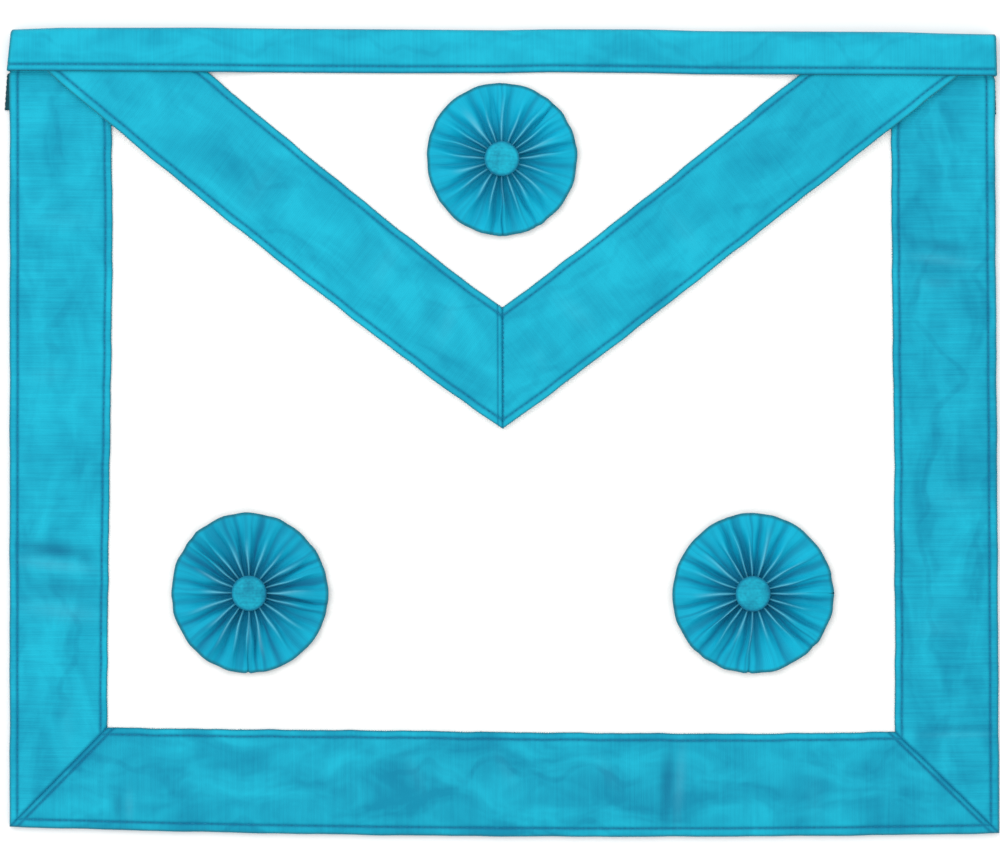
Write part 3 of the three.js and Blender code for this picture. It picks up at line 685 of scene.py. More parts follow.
def waistband():
    """The waistband, one ribbon folded over the top edge: back leg on the floor, half an ellipse for the
    fold, and waistband_face for the front leg. The back leg stops at the belt tabs."""
    rise = TOP - FOLD_DEPTH
    leg = np.linspace(WAISTBAND_EDGE, rise, 10)[:-1]
    turn = np.radians(np.linspace(-90, 90, 17))
    front = [np.linspace(rise, BAND_ROW + 2, 12)[1:], np.linspace(BAND_ROW + 2, WAISTBAND_EDGE, 17)[1:]]
    front = np.concatenate(front)
    face_y = np.concatenate([leg, rise + FOLD_DEPTH * np.cos(turn), front])[:, None]
    back_y = np.concatenate([leg, rise + (FOLD_DEPTH - RIBBON) * np.cos(turn), front])[:, None]
    angle = np.concatenate([0 * leg - np.pi / 2, turn, 0 * front + np.pi / 2])[:, None]
    is_leg = (np.arange(len(face_y)) < len(leg))[:, None]
    is_front = (np.arange(len(face_y)) >= len(leg) + len(turn))[:, None]
    leg_end = SIDE - TAB_LENGTH - CLOTH_GAP
    reach = [np.where(is_leg, leg_end, waistband_end(strip, face_y)) for strip in BAND_ENDS]
    x = lerp(-reach[0], reach[1], np.linspace(0, 1, 300)[None, :])
    to_end = np.minimum(reach[0] + x, reach[1] - x)
    height = waistband_under(np.clip(x, -FLAP_CORNER, FLAP_CORNER)) + RIBBON
    turned_up = 0.5 * smooth(1.5, 0, to_end) * is_front
    face = height / 2 * (1 + np.sin(angle)) - turned_up
    back = height / 2 + (height / 2 - RIBBON) * np.sin(angle)
    top = waistband_face(np.clip(x, -FLAP_CORNER, FLAP_CORNER), face_y) - turned_up
    face = np.where(is_front, top, face)
    shift = band_line(x, face_y)
    section = np.concatenate([face_y, 5 * np.sin(angle)], 1)
    across = arc_length(section)[:, None]
    # Painted shade: edge greys the back leg, the fold where it turns under, the lower edge and the ends, and
    # row darkens lines along the stitch row and along the lower edge.
    edge = np.maximum(is_leg * 1.0, 1 - smooth(WAISTBAND_EDGE, WAISTBAND_EDGE + 0.5, face_y))
    fold = (1 - np.sin(angle)) * (1 - is_front)
    marks = {
        "edge": np.clip(np.maximum(edge + 0 * x, fold) + smooth(1.6, 0.2, to_end), 0, 1),
        "row": (hump(face_y - BAND_ROW, 0.75) + hump(face_y - WAISTBAND_EDGE, 1.0)) * is_front + 0 * x,
    }
    front_side, back_side = points_of(x, face_y + shift, face), points_of(x, back_y + shift, back)
    return cloth_wall("ribbon_waistband", front_side, back_side, points_of(x, across, 0)[..., :2], marks)


def waistband_close(strip, sign):
    """The turned-in end of the waistband: a small wall that fills the folded ribbon's outline, bulging
    outwards in its middle."""
    rise = TOP - FOLD_DEPTH
    round_fold = rise + FOLD_DEPTH * np.sin(np.linspace(0.1, 1.5, 10))
    y = np.concatenate([np.linspace(WAISTBAND_EDGE, rise, 20), round_fold])[:, None]
    height = waistband_under(FLAP_CORNER) + RIBBON
    half = height / 2 * np.sqrt(np.clip(1 - (np.maximum(y - rise, 0) / FOLD_DEPTH) ** 2, 0.01, 1)) - 0.15
    low = np.maximum(height / 2 - half, np.where(y < rise, RIBBON_LAYER, 0))
    share = np.linspace(0, 1, 14)[None, :]
    z = lerp(low, height / 2 + half - 0.25, share)
    bulge = 0.25 * np.sin(np.pi * share) - 0.3
    outer = waistband_end(strip, y) + bulge
    laid_y = y + band_line(sign * outer, y)
    face = points_of(sign * outer, laid_y, z)
    back = points_of(sign * (outer - CLOSE_WALL), laid_y, z)
    # The whole end wall is greyed, as painted shade.
    marks = {"edge": 0.75 + 0 * z}
    return cloth_wall(f"waistband_end_{strip}", face, back, points_of(y, z, 0)[..., :2], marks)


def belt_tab(strip, sign, proud):
    """Webbing behind an upper corner. Its outer end stands past the apron's side below the waistband, the
    further the lower, and is drawn in, by an S-shaped step, to pass up inside the waistband's end."""
    y = np.linspace(LAYERS_TOP, TAB_EDGE, 120)[None, :]
    inside = waistband_end(strip, y) - CLOSE_WALL - 0.5
    down = np.clip((WAISTBAND_EDGE - y) / (WAISTBAND_EDGE - TAB_EDGE), 0, 1)
    step = smooth(WAISTBAND_EDGE - 1.6, WAISTBAND_EDGE + 0.2, y)
    outer = lerp(SIDE + proud * lerp(0.5, 1, down), inside, step)
    share = np.linspace(0, 1, 40)[:, None]
    x = lerp(SIDE - TAB_LENGTH, outer, share)
    rounded = 0.3 * hump(outer - x, 0.5) + 0.25 * hump(y - TAB_EDGE, 0.6)
    frayed = 0.15 * waver(y, 2.3, 1) * smooth(0.9, 1, share)
    face = points_of(sign * (x + frayed), y, WEBBING - rounded)
    back = points_of(sign * (x + frayed), y, 0)
    edge = np.maximum(smooth(0.93, 1, share), 1 - smooth(0, 1.5, y - TAB_EDGE))
    return cloth_wall(f"webbing_tab_{strip}", face, back, points_of(x, y, 0)[..., :2], {"edge": edge + 0 * x})


# Rings of a rosette from its eye to its rim. radius is a share of the rosette's, crest, valley and lift are
# shares of the pleat height, and narrow says how thin a pleat's crest is against the hollow beside it.
RINGS = {
    "radius": [0.1, 0.22, 0.36, 0.5, 0.66, 0.85, 1.0],
    "crest": [0.42, 0.62, 1.0, 0.96, 0.86, 0.62, 0.45],
    "valley": [0.34, 0.28, 0.2, 0.2, 0.24, 0.25, 0.25],
    "narrow": [2.4, 3.0, 2.8, 1.7, 1.0, 0.65, 0.5],
    "lift": [0, 0, 0, 0.01, 0.03, 0.09, 0.14],
}


def ring_value(name, share):
    """A value of the table at a share of the radius: read between the rings, then softened so that no
    ring shows."""
    around = share[..., None] + np.linspace(-0.06, 0.06, 9)
    return np.interp(around, RINGS["radius"], RINGS[name]).mean(-1)


def wobble(turn, seed):
    """Unevenness round a rosette: two sines that close after one turn."""
    return 0.6 * np.sin(3 * turn + seed) + 0.4 * np.sin(7 * turn + 2 * seed)


def pleat_wave(turn, share, seed):
    """The wave of PLEATS crests round a rosette: its phase, drawn unevenly together away from the button,
    and its height from 0 to 1, raised to a power that makes the crests thin near the button and broad at
    the rim."""
    phase = PLEATS * turn
    phase = phase + 0.55 * np.sin(phase + 3 * wobble(turn, seed + 4)) * smooth(0.25, 0.6, share)
    return phase, (0.5 + 0.5 * np.cos(phase)) ** ring_value("narrow", share)


def pleat_height(turn, share, wave, seed):
    """Height of a rosette as a share of PLEAT_HEIGHT: between valley and crest by the wave, with uneven
    crests, less a small second wave that breaks up the rim, plus the rim's lift."""
    crest = ring_value("crest", share) * (1 + 0.15 * wobble(turn, seed) + 0.08 * np.sin(9 * turn + seed))
    spare = wobble(2 * turn, seed + 2)
    second = 0.1 * (0.5 + 0.5 * np.cos(2 * PLEATS * turn + 2 * spare + seed)) * smooth(0.55, 0.95, share)
    second = second * (0.5 + 0.5 * spare)
    return lerp(ring_value("valley", share), crest, wave) - second * (0.3 + wave) + ring_value("lift", share)


def pleat_lean(turn, share, seed):
    """How far round, in radians, the pleats lean from straight spokes: slow leans, and a small curl half
    way out."""
    lean = 0.05 * wobble(turn, seed + 1) + 0.08 * waver(turn, 2 * np.pi / 3, seed) * smooth(0.2, 1, share)
    curl = np.sin(9 * share + 4 * wobble(2 * turn, seed + 5))
    return lean + 0.013 * curl * smooth(0.2, 0.5, share) * (1 - smooth(0.8, 1, share))


def rim_ripple(turn, share, seed, oval):
    """The rosette's outline as a factor of its radius: a small bulge at each pleat, slow unevenness, and
    ovalness."""
    ripple = 1 + share * (0.0035 * np.cos(PLEATS * turn) + 0.006 * np.sin(3 * turn + seed) - 0.003)
    ripple = ripple + 0.005 * waver(turn, 2 * np.pi / 11, seed) * smooth(0.8, 1, share)
    return ripple + oval * np.cos(2 * turn)


def pleat_shade(turn, share, phase, wave, seed):
    """Where a rosette is shaded, from 0 to 1: its hollows near the button, and beyond them three sets of
    thin streaks along the pleats, one in the hollows, one twice and one three times as close."""
    spare = wobble(2 * turn, seed + 2)
    hollow_line = (0.5 - 0.5 * np.cos(phase)) ** 6 * (0.68 + 0.3 * wobble(5 * turn, seed + 3))
    between = (0.5 - 0.5 * np.cos(2 * PLEATS * turn + 3 * spare + seed)) ** 5 * (0.42 + 0.34 * spare)
    finest = (0.5 - 0.5 * np.cos(3 * PLEATS * turn - 4 * spare)) ** 4 * (0.2 - 0.2 * wobble(5 * turn, seed))
    streaks = np.maximum(np.maximum(hollow_line, between), finest)
    streaks = streaks * smooth(0.3, 0.55, share) * (1 - 0.25 * smooth(0.7, 1, share))
    return np.clip((1 - wave) * (0.9 - 0.9 * smooth(0.24, 0.62, share)) + streaks, 0, 1)


def rosette(name, centre, radius, ground, seed, creases, oval):
    """A gathered ribbon rosette: rings from its eye to its rim that follow the pleats' height, lean and
    outline. The creases, with the ribbon's join among them, are thin radial grooves with a notch at the
    rim. oval is how much wider than tall it lies."""
    columns = PLEATS * PLEAT_COLUMNS
    turn = (np.arange(columns) * 2 * np.pi / columns)[:, None]
    share = np.concatenate([np.linspace(RUFFLE_EYE / radius, 0.9, 34), np.linspace(0.9, 1, 9)[1:]])[None, :]
    phase, wave = pleat_wave(turn, share, seed)
    r = share * radius * rim_ripple(turn, share, seed, oval)
    groove = np.zeros_like(r)
    for crease in creases:
        off = (turn - np.radians(crease["angle"]) + np.pi) % (2 * np.pi) - np.pi
        strength = crease["depth"] * smooth(crease["start"] - 0.08, crease["start"] + 0.04, share)
        groove = np.maximum(groove, strength * hump(off * r, 0.42))
        r = r - crease["notch"] * hump(off * radius, 0.9) * smooth(0.9, 1, share)
    lean = pleat_lean(turn, share, seed)
    x = centre[0] + r * np.cos(turn + lean)
    y = centre[1] + r * np.sin(turn + lean)
    floor = ground(x, y) + CLOTH_GAP
    edge = smooth(1 - 1.6 / radius, 1 - 0.5 / radius, share)
    up = PLEAT_HEIGHT * pleat_height(turn, share, wave, seed) - 1.1 * groove - 0.15 * edge
    hollow = np.maximum(up - RUFFLE_CLOTH, 0) * smooth(0.14, 0.3, share)
    face, back = points_of(x, y, floor + np.maximum(up, 0.3)), points_of(x, y, floor - LIE + hollow)
    length = 2 * np.pi * radius * 1.04
    closed = np.concatenate([turn, turn[:1] + 2 * np.pi])
    pattern = points_of(closed / (2 * np.pi) * length, share * radius, 0)[..., :2]
    inner = 1 - smooth(0.38, 0.78 + 0.14 * wobble(3 * turn, seed + 6), share)
    # Marks for painted colour: edge darkens the rim, for its selvedge and painted shade; row is painted shade
    # in the creases; shade is pleat_shade's painted shade; crest a painted highlight along the crests near
    # the button.
    marks = {
        "edge": edge + 0 * r,
        "row": np.clip(groove, 0, 1),
        "shade": pleat_shade(turn, share, phase, wave, seed),
        "crest": np.clip((0.5 + 0.5 * np.cos(phase)) ** 12 * inner, 0, 1),
    }
    return cloth_wall(name, face, back, pattern, marks, ring=True)


def button(name, centre, ground):
    """A cloth-covered button: a flat back, a rounded rim and a dome that is part of an ellipse, with
    small pleats where the cloth is drawn in under the rim. Its pattern runs straight across, as the cloth
    does."""
    turn = np.linspace(0, 2 * np.pi, 72, endpoint=False)[:, None]
    shoulder = BUTTON_RIM * BUTTON_HEIGHT
    dome = np.radians(np.linspace(0, 89, 20))
    under = np.radians(np.linspace(-90, 0, 9))[:-1]
    back = BUTTON_BACK * BUTTON_RADIUS
    rim_out, dome_out = back + (BUTTON_RADIUS - back) * np.cos(under), BUTTON_RADIUS * np.cos(dome) ** 0.92
    rim_up, dome_up = shoulder * (1 + np.sin(under)), shoulder + (BUTTON_HEIGHT - shoulder) * np.sin(dome)
    out = np.concatenate([[0.4], rim_out, dome_out])[None, :]
    up = np.concatenate([[0], rim_up, dome_up])[None, :]
    drawn_in = 1 - smooth(0.1 * shoulder, 1.2 * shoulder, up)
    out = out + 0.14 * np.cos(18 * turn + np.sin(3 * turn)) * drawn_in * smooth(2, 6, out)
    x, y = centre[0] + out * np.cos(turn), centre[1] + out * np.sin(turn)
    base = ground(np.array(centre[0]), np.array(centre[1])) + CLOTH_GAP + PLEAT_HEIGHT * BUTTON_SEAT
    points = points_of(x, y, base + up)
    columns, rows = points.shape[:2]
    i, j = np.arange(columns)[:, None], np.arange(rows - 1)[None, :]
    after = (i + 1) % columns
    corners = [i * rows + j, after * rows + j, after * rows + j + 1, i * rows + j + 1]
    quads = np.stack([c.ravel() for c in corners], 1)
    caps = np.stack([np.arange(columns)[::-1] * rows, np.arange(columns) * rows + rows - 1])
    numbers = np.concatenate([quads.ravel(), caps.ravel()])
    pattern = points[..., :2].reshape(-1, 2) * MM
    # edge is painted shade round the rim.
    marks = {"edge": (1 - smooth(0.2, 1.3, BUTTON_RADIUS - out)) + 0 * x}
    return mesh_object(name, lay(points).reshape(-1, 3), [quads, caps], numbers, pattern, marks)


# Sewing
def stitches(name, rows, seed, pitch=STITCH_PITCH, length=STITCH_LENGTH):
    """Stitches along lines of points: each is a short round thread of six sides whose middle stands up in
    an arch and whose ends dive into the cloth. Lengths and places vary a little."""
    chance = np.random.default_rng(seed)
    sides, rings = 6, 6
    points = []
    for row in rows:
        distance = arc_length(row)
        starts = np.arange(0.4 * pitch, distance[-1] - pitch, pitch)
        starts = starts + chance.normal(0, 0.07, len(starts))
        lengths = length * (1 + chance.normal(0, 0.05, len(starts)))
        sideways = chance.normal(0, 0.05, len(starts))[:, None]
        share = np.linspace(0, 1, rings)[None, :]
        at = starts[:, None] + lengths[:, None] * share
        x, y, z = (np.interp(at, distance, row[:, k]) for k in range(3))
        dx, dy = np.gradient(x, axis=1), np.gradient(y, axis=1)
        size = np.hypot(dx, dy)
        dx, dy = dx / size, dy / size
        thick = THREAD / 2 * (0.45 + 0.55 * np.sin(np.pi * share))
        lift = 0.16 * np.sin(np.pi * share) - 0.1
        angle = (np.arange(sides) * 2 * np.pi / sides)[None, None, :]
        out, up = thick[..., None] * np.cos(angle), thick[..., None] * np.sin(angle)
        thread_x = (x - dy * sideways)[..., None] - dy[..., None] * out
        thread_y = (y + dx * sideways)[..., None] + dx[..., None] * out
        points.append(points_of(thread_x, thread_y, (z + lift)[..., None] + up))
    return tufts(name, np.concatenate(points))


def tufts(name, points):
    """Many small closed tubes as one object. points is a grid of (tube, ring, side, 3), and each tube's
    two ends are filled."""
    tubes, rings, sides = points.shape[:3]
    start = (np.arange(tubes) * rings * sides)[:, None, None]
    ring = np.arange(rings - 1)[None, :, None]
    side = np.arange(sides)[None, None, :]
    after = (side + 1) % sides
    corners = [(ring + up) * sides + at for up, at in ((0, side), (0, after), (1, after), (1, side))]
    quads = np.stack([(start + corner).ravel() for corner in corners], 1)
    first = start[:, 0] + np.arange(sides)[::-1][None, :]
    last = start[:, 0] + (rings - 1) * sides + np.arange(sides)[None, :]
    laid = lay(points).reshape(-1, 3)
    faces = [quads, first, last]
    if volume_within(laid, quads) < 0:
        faces = [part[:, ::-1] for part in faces]
    return mesh_object(name, laid, faces)


def picots(name, edges, seed):
    """The woven edge's small loops: short four-sided threads that stand out from an edge at uneven
    lengths. Each edge is a line of points and the side, 1 or -1, on which its outside lies."""
    chance = np.random.default_rng(seed)
    points = []
    for edge, outside in edges:
        distance = arc_length(edge)
        at = np.arange(0.5, distance[-1] - 0.5, PICOT_PITCH)
        at = at + chance.normal(0, 0.16, len(at))
        x, y, z = (np.interp(at, distance, edge[:, k]) for k in range(3))
        dx, dy = (np.interp(at, distance, np.gradient(edge[:, k])) for k in range(2))
        size = np.hypot(dx, dy)
        dx, dy = dx / size, dy / size
        reach = np.clip(chance.normal(PICOT_REACH, 0.07, len(at)), 0.03, 0.32)[:, None]
        bend = chance.normal(0, 0.3, len(at))[:, None]
        share = np.array([0, 0.6, 1.0])[None, :]
        out = outside * (share * reach - 0.15 * (1 - share))
        slip = bend * share**2 * reach
        half = PICOT_HALF * np.array([1.15, 1.0, 0.35])[None, :]
        angle = (np.arange(4) * np.pi / 2)[None, None, :]
        wide, up = half[..., None] * np.cos(angle), 0.8 * half[..., None] * np.sin(angle)
        centre_x = x[:, None] - dy[:, None] * out + dx[:, None] * slip
        centre_y = y[:, None] + dx[:, None] * out + dy[:, None] * slip
        thread_x = centre_x[..., None] + dx[:, None, None] * wide
        thread_y = centre_y[..., None] + dy[:, None, None] * wide
        points.append(points_of(thread_x, thread_y, (z[:, None] - 0.12 * share)[..., None] + up))
    return tufts(name, np.concatenate(points))


def border_line(strip, inward, start, end, drop=0.0):
    """Points along a border ribbon's top at one distance in from its fold."""
    along = np.linspace(start, end, 700)
    x, y = border_place(strip, inward, along)
    z = border_face(strip, x, y, np.full_like(along, inward), along) - drop
    return points_of(x, y, z)


def arm_line(arm, inward, drop=0.0):
    """Points along an arm of the V at one distance from its outer edge, from the seam to the waistband."""
    sign = -1 if arm == "arm_left" else 1
    share = inward / FLAP_RIBBON_WIDTH
    across = np.linspace(SEAM_GAP, float(ribbon_meets(WAISTBAND_EDGE, share, sign)), 600)
    y = flap_ribbon_line(sign * across, share)
    top = flap_ribbon_face(arm, across, y, np.full_like(across, inward), along_arm(across, y)) - drop
    return points_of(sign * across, y, top)


def mitre_line(sign, beside):
    """Points along a lower corner's mitre, on the bottom ribbon and a little way from the seam."""
    inward = np.linspace(FOLD_DEPTH + 1, BORDER_WIDTH - 0.5, 200)
    wide = inward * spread_of("left" if sign < 0 else "right", BOTTOM)
    x, y = border_place("bottom", inward, sign * (SIDE - wide - SEAM_GAP - beside * np.sqrt(2)))
    return points_of(x, y, border_face("bottom", x, y, inward, x))


def seam_line(x):
    """Points up the V's seam from its point to its inner corner, at a distance x from the centre line."""
    low = flap_edge(x) + 1.5
    high = flap_ribbon_line(x, 1.0) - 1
    y = np.linspace(low, high, 200)
    inward = (y - flap_edge(x)) / np.hypot(1, FLAP_SLOPE)
    arm = "arm_left" if x < 0 else "arm_right"
    top = flap_ribbon_face(arm, np.full_like(y, abs(x)), y, inward, along_arm(0, y))
    return points_of(x, y, top)


# Materials
def linear(red, green, blue):
    """A colour given as 0 to 255 on the screen, as the linear value that a shader takes."""
    screen = np.array([red, green, blue]) / 255
    value = np.where(screen <= 0.04045, screen / 12.92, ((screen + 0.055) / 1.055) ** 2.4)
    return (*value.tolist(), 1.0)


def put(tree, kind, inputs=None, **settings):
    """Adds a node, sets its properties, and fills its inputs: a socket is linked, anything else is the
    value."""
    made = tree.nodes.new(kind)
    for name, value in settings.items():
        setattr(made, name, value)
    for name, value in (inputs or {}).items():
        if isinstance(value, bpy.types.NodeSocket):
            tree.links.new(value, made.inputs[name])
        else:
            made.inputs[name].default_value = value
    return made


def calculate(tree, operation, *values, clamp=False):
    """A Math node's result."""
    inputs = dict(enumerate(values))
    return put(tree, "ShaderNodeMath", inputs, operation=operation, use_clamp=clamp).outputs[0]


def swayed(tree, tone, value, amount, clamp=False):
    """A tone moved up or down by the amount times how far a value lies from its middle, 0.5."""
    off_middle = calculate(tree, "SUBTRACT", value, 0.5)
    return calculate(tree, "MULTIPLY_ADD", off_middle, amount, tone, clamp=clamp)


def mix_colours(tree, factor, first, second):
    """A colour Mix node's result."""
    inputs = {0: factor, 6: first, 7: second}
    return put(tree, "ShaderNodeMix", inputs, data_type="RGBA").outputs[2]


def ramp(tree, value, low, high):
    """A value read from the range low to high as 0 to 1, with a soft start and end."""
    inputs = {"Value": value, "From Min": low, "From Max": high}
    return put(tree, "ShaderNodeMapRange", inputs, interpolation_type="SMOOTHSTEP").outputs[0]


def stretched(tree, vector, scale):
    """A vector with each axis scaled on its own."""
    inputs = {0: vector, 1: scale}
    return put(tree, "ShaderNodeVectorMath", inputs, operation="MULTIPLY").outputs[0]


def noise(tree, vector, scale, detail, roughness=0.5, distortion=0.0):
    """A Noise node's value."""
    inputs = {
        "Vector": vector,
        "Scale": scale,
        "Detail": detail,
        "Roughness": roughness,
        "Distortion": distortion,
    }
    return put(tree, "ShaderNodeTexNoise", inputs).outputs[0]


def group(name, inputs, outputs):
    """A new shader node group with named sockets, and its inner input and output nodes."""
    tree = bpy.data.node_groups.new(name, "ShaderNodeTree")
    for socket, (kind, value) in inputs.items():
        made = tree.interface.new_socket(socket, in_out="INPUT", socket_type=kind)
        if value is not None:
            made.default_value = value
    for socket in outputs:
        tree.interface.new_socket(socket, in_out="OUTPUT", socket_type="NodeSocketFloat")
    return tree, tree.nodes.new("NodeGroupInput").outputs, tree.nodes.new("NodeGroupOutput").inputs


FLOAT = "NodeSocketFloat"
VECTOR = "NodeSocketVector"


def ribbed_weave_group():
    """Cross ribs of a corded cloth. Height is a sine along x with the given pitch, whose phase wanders a
    little, and Slub gives the uneven thickness of single threads as streaks that run across the
    ribbon."""
    inputs = {"Vector": (VECTOR, None), "Pitch": (FLOAT, 0.0007), "Wander": (FLOAT, 0.6)}
    tree, given, result = group("ribbed weave", inputs, ("Height", "Slub"))
    split = put(tree, "ShaderNodeSeparateXYZ", {0: given["Vector"]}).outputs
    drift = noise(tree, stretched(tree, given["Vector"], (260, 60, 1)), 1.0, 2.0)
    phase = calculate(tree, "DIVIDE", split["X"], given["Pitch"])
    phase = calculate(tree, "MULTIPLY_ADD", drift, given["Wander"], phase)
    wave = calculate(tree, "SINE", calculate(tree, "MULTIPLY", phase, 2 * np.pi))
    tree.links.new(calculate(tree, "MULTIPLY_ADD", wave, 0.5, 0.5), result["Height"])
    streaks = noise(tree, stretched(tree, given["Vector"], (900, 28, 1)), 1.0, 3.0, 0.6)
    tree.links.new(streaks, result["Slub"])
    return tree


def watered_figure_group():
    """The watered figure of a pressed ribbon. Cloud is a soft field of patches, longer along the ribbon
    than across it. Line is a few long thin dark lines along the ribbon: places where a wave across the
    ribbon is at its crest, its phase bent into steps by a field that varies along the ribbon, and faded
    in and out by a third field."""
    inputs = {
        "Vector": (VECTOR, None),
        "Long": (FLOAT, 34.0),
        "Wide": (FLOAT, 70.0),
        "Lines": (FLOAT, 38.0),
        "Seed": (FLOAT, 0.0),
    }
    tree, given, result = group("watered figure", inputs, ("Cloud", "Line"))
    scale = put(tree, "ShaderNodeCombineXYZ", {"X": given["Long"], "Y": given["Wide"], "Z": 1.0}).outputs[0]
    away = put(tree, "ShaderNodeCombineXYZ", dict.fromkeys("XYZ", given["Seed"])).outputs[0]
    spot = stretched(tree, given["Vector"], scale)
    spot = put(tree, "ShaderNodeVectorMath", {0: spot, 1: away}, operation="ADD").outputs[0]
    tree.links.new(noise(tree, spot, 1.0, 3.0, 0.55, 0.6), result["Cloud"])
    across = put(tree, "ShaderNodeSeparateXYZ", {0: given["Vector"]}).outputs["Y"]
    bend = noise(tree, stretched(tree, spot, (0.9, 0.16, 1)), 1.0, 2.0, 0.45)
    phase = calculate(tree, "MULTIPLY_ADD", bend, 2.2, calculate(tree, "MULTIPLY", across, given["Lines"]))
    crest = calculate(tree, "SINE", calculate(tree, "MULTIPLY", phase, 2 * np.pi))
    where = ramp(tree, noise(tree, spot, 0.5, 0.0), 0.42, 0.62)
    tree.links.new(calculate(tree, "MULTIPLY", ramp(tree, crest, 0.88, 1.0), where), result["Line"])
    return tree


def broken_mark_group():
    """The given mark, broken up by fine noise along it. It carries the painted shade at edges, folds, stitch
    rows and rims, with the wear at edges, and the painted highlights on ridges and crests.
    """
    inputs = {
        "Vector": (VECTOR, None),
        "Mark": (FLOAT, 0.0),
        "Fineness": (FLOAT, 900.0),
        "Break": (FLOAT, 0.5),
    }
    tree, given, result = group("broken mark", inputs, ("Mask",))
    grain = noise(tree, given["Vector"], given["Fineness"], 2.0)
    spread = calculate(tree, "MULTIPLY", calculate(tree, "SUBTRACT", grain, 0.5), given["Break"])
    kept = calculate(tree, "ADD", given["Mark"], calculate(tree, "MULTIPLY", spread, given["Mark"]))
    tree.links.new(calculate(tree, "MAXIMUM", kept, 0.0, clamp=True), result["Mask"])
    return tree


def mottle_group():
    """Broad uneven tone of a dyed or dressed sheet: two noises of different size, added."""
    inputs = {"Vector": (VECTOR, None), "Size": (FLOAT, 12.0)}
    tree, given, result = group("mottle", inputs, ("Value",))
    broad = noise(tree, given["Vector"], given["Size"], 2.0)
    fine = noise(tree, given["Vector"], calculate(tree, "MULTIPLY", given["Size"], 7.0), 2.0)
    both = calculate(tree, "MULTIPLY_ADD", fine, 0.35, calculate(tree, "MULTIPLY", broad, 0.65))
    tree.links.new(both, result["Value"])
    return tree


RIBBED_WEAVE = ribbed_weave_group()
WATERED_FIGURE = watered_figure_group()
BROKEN_MARK = broken_mark_group()
MOTTLE = mottle_group()


def placed(tree, which, **inputs):
    """A node group in a material, with its own values, and its outputs."""
    made = tree.nodes.new("ShaderNodeGroup")
    made.node_tree = which
    for name, value in inputs.items():
        if isinstance(value, bpy.types.NodeSocket):
            tree.links.new(value, made.inputs[name])
        else:
            made.inputs[name].default_value = value
    return made.outputs


def new_material(name):
    """A material with a Principled BSDF, and the sockets that its nodes need most."""
    material = bpy.data.materials.new(name)
    material.use_nodes = True
    tree = material.node_tree
    tree.nodes.clear()
    shader = tree.nodes.new("ShaderNodeBsdfPrincipled")
    output = tree.nodes.new("ShaderNodeOutputMaterial")
    tree.links.new(shader.outputs[0], output.inputs["Surface"])
    coordinates = tree.nodes.new("ShaderNodeTexCoord").outputs
    return material, tree, shader, coordinates["Object"], coordinates["UV"]


def mark(tree, name):
    """A piece's own marked value."""
    return put(tree, "ShaderNodeAttribute", attribute_name=name).outputs["Fac"]


def broken_up_mark(tree, pattern, name, fineness, broken):
    """A piece's own mark, broken up along it by fine noise."""
    inputs = {"Vector": pattern, "Mark": mark(tree, name), "Fineness": fineness, "Break": broken}
    return placed(tree, BROKEN_MARK, **inputs)["Mask"]


def tinted(tree, colour, mask, amount, tint):
    """A colour mixed with a tint, by the amount where the mask is 1."""
    return mix_colours(tree, calculate(tree, "MULTIPLY", mask, amount), colour, tint)


def finish(tree, shader, colour, roughness, specular, height, bump, depth):
    """Links a material's colour, roughness and bump, whose depth is in metres, and sets its specular
    level."""
    tree.links.new(colour, shader.inputs["Base Color"])
    tree.links.new(roughness, shader.inputs["Roughness"])
    shader.inputs["Specular IOR Level"].default_value = specular
    inputs = {"Height": height, "Strength": bump, "Distance": depth}
    tree.links.new(put(tree, "ShaderNodeBump", inputs).outputs[0], shader.inputs["Normal"])


# Colours of the cloth, as on the screen
RIBBON_LIGHT = linear(20, 176, 203)
RIBBON_SHADE = linear(6, 134, 166)
# The next three colours are painted light: a dark blue for painted shade in hollows, along stitch rows, seams
# and creases and round the buttons' rims, a grey teal for wear and painted shade at edges and folds, and a
# pale blue for painted highlights on ridges and crests.
RIBBON_PAINTED_SHADE = linear(0, 84, 126)
RIBBON_EDGE_WEAR_AND_SHADE = linear(30, 104, 120)
RIBBON_PAINTED_HIGHLIGHT = linear(104, 180, 204)
RUFFLE_LIGHT = linear(6, 172, 204)
THREAD_BLUE = linear(2, 106, 140)
THREAD_LIGHT = linear(20, 134, 170)
PICOT_TEAL = linear(84, 146, 158)
PICOT_LIGHT = linear(96, 172, 188)
BUTTON_SHADE = linear(2, 124, 154)
BUTTON_LIGHT = linear(18, 176, 202)
WEBBING_DARK = linear(6, 70, 84)
WEBBING_LIGHT = linear(20, 112, 128)
WEBBING_EDGE = linear(10, 52, 60)
LEATHER_WHITE = linear(250, 250, 249)
LEATHER_SHADE = linear(243, 243, 241)
FLOOR_SHADE = (0.94, 0.94, 0.94, 1)
FLOOR_LIGHT = (0.965, 0.965, 0.965, 1)

RIBBON_TONE = 0.62  # where plain ribbon lies between its shade and its light


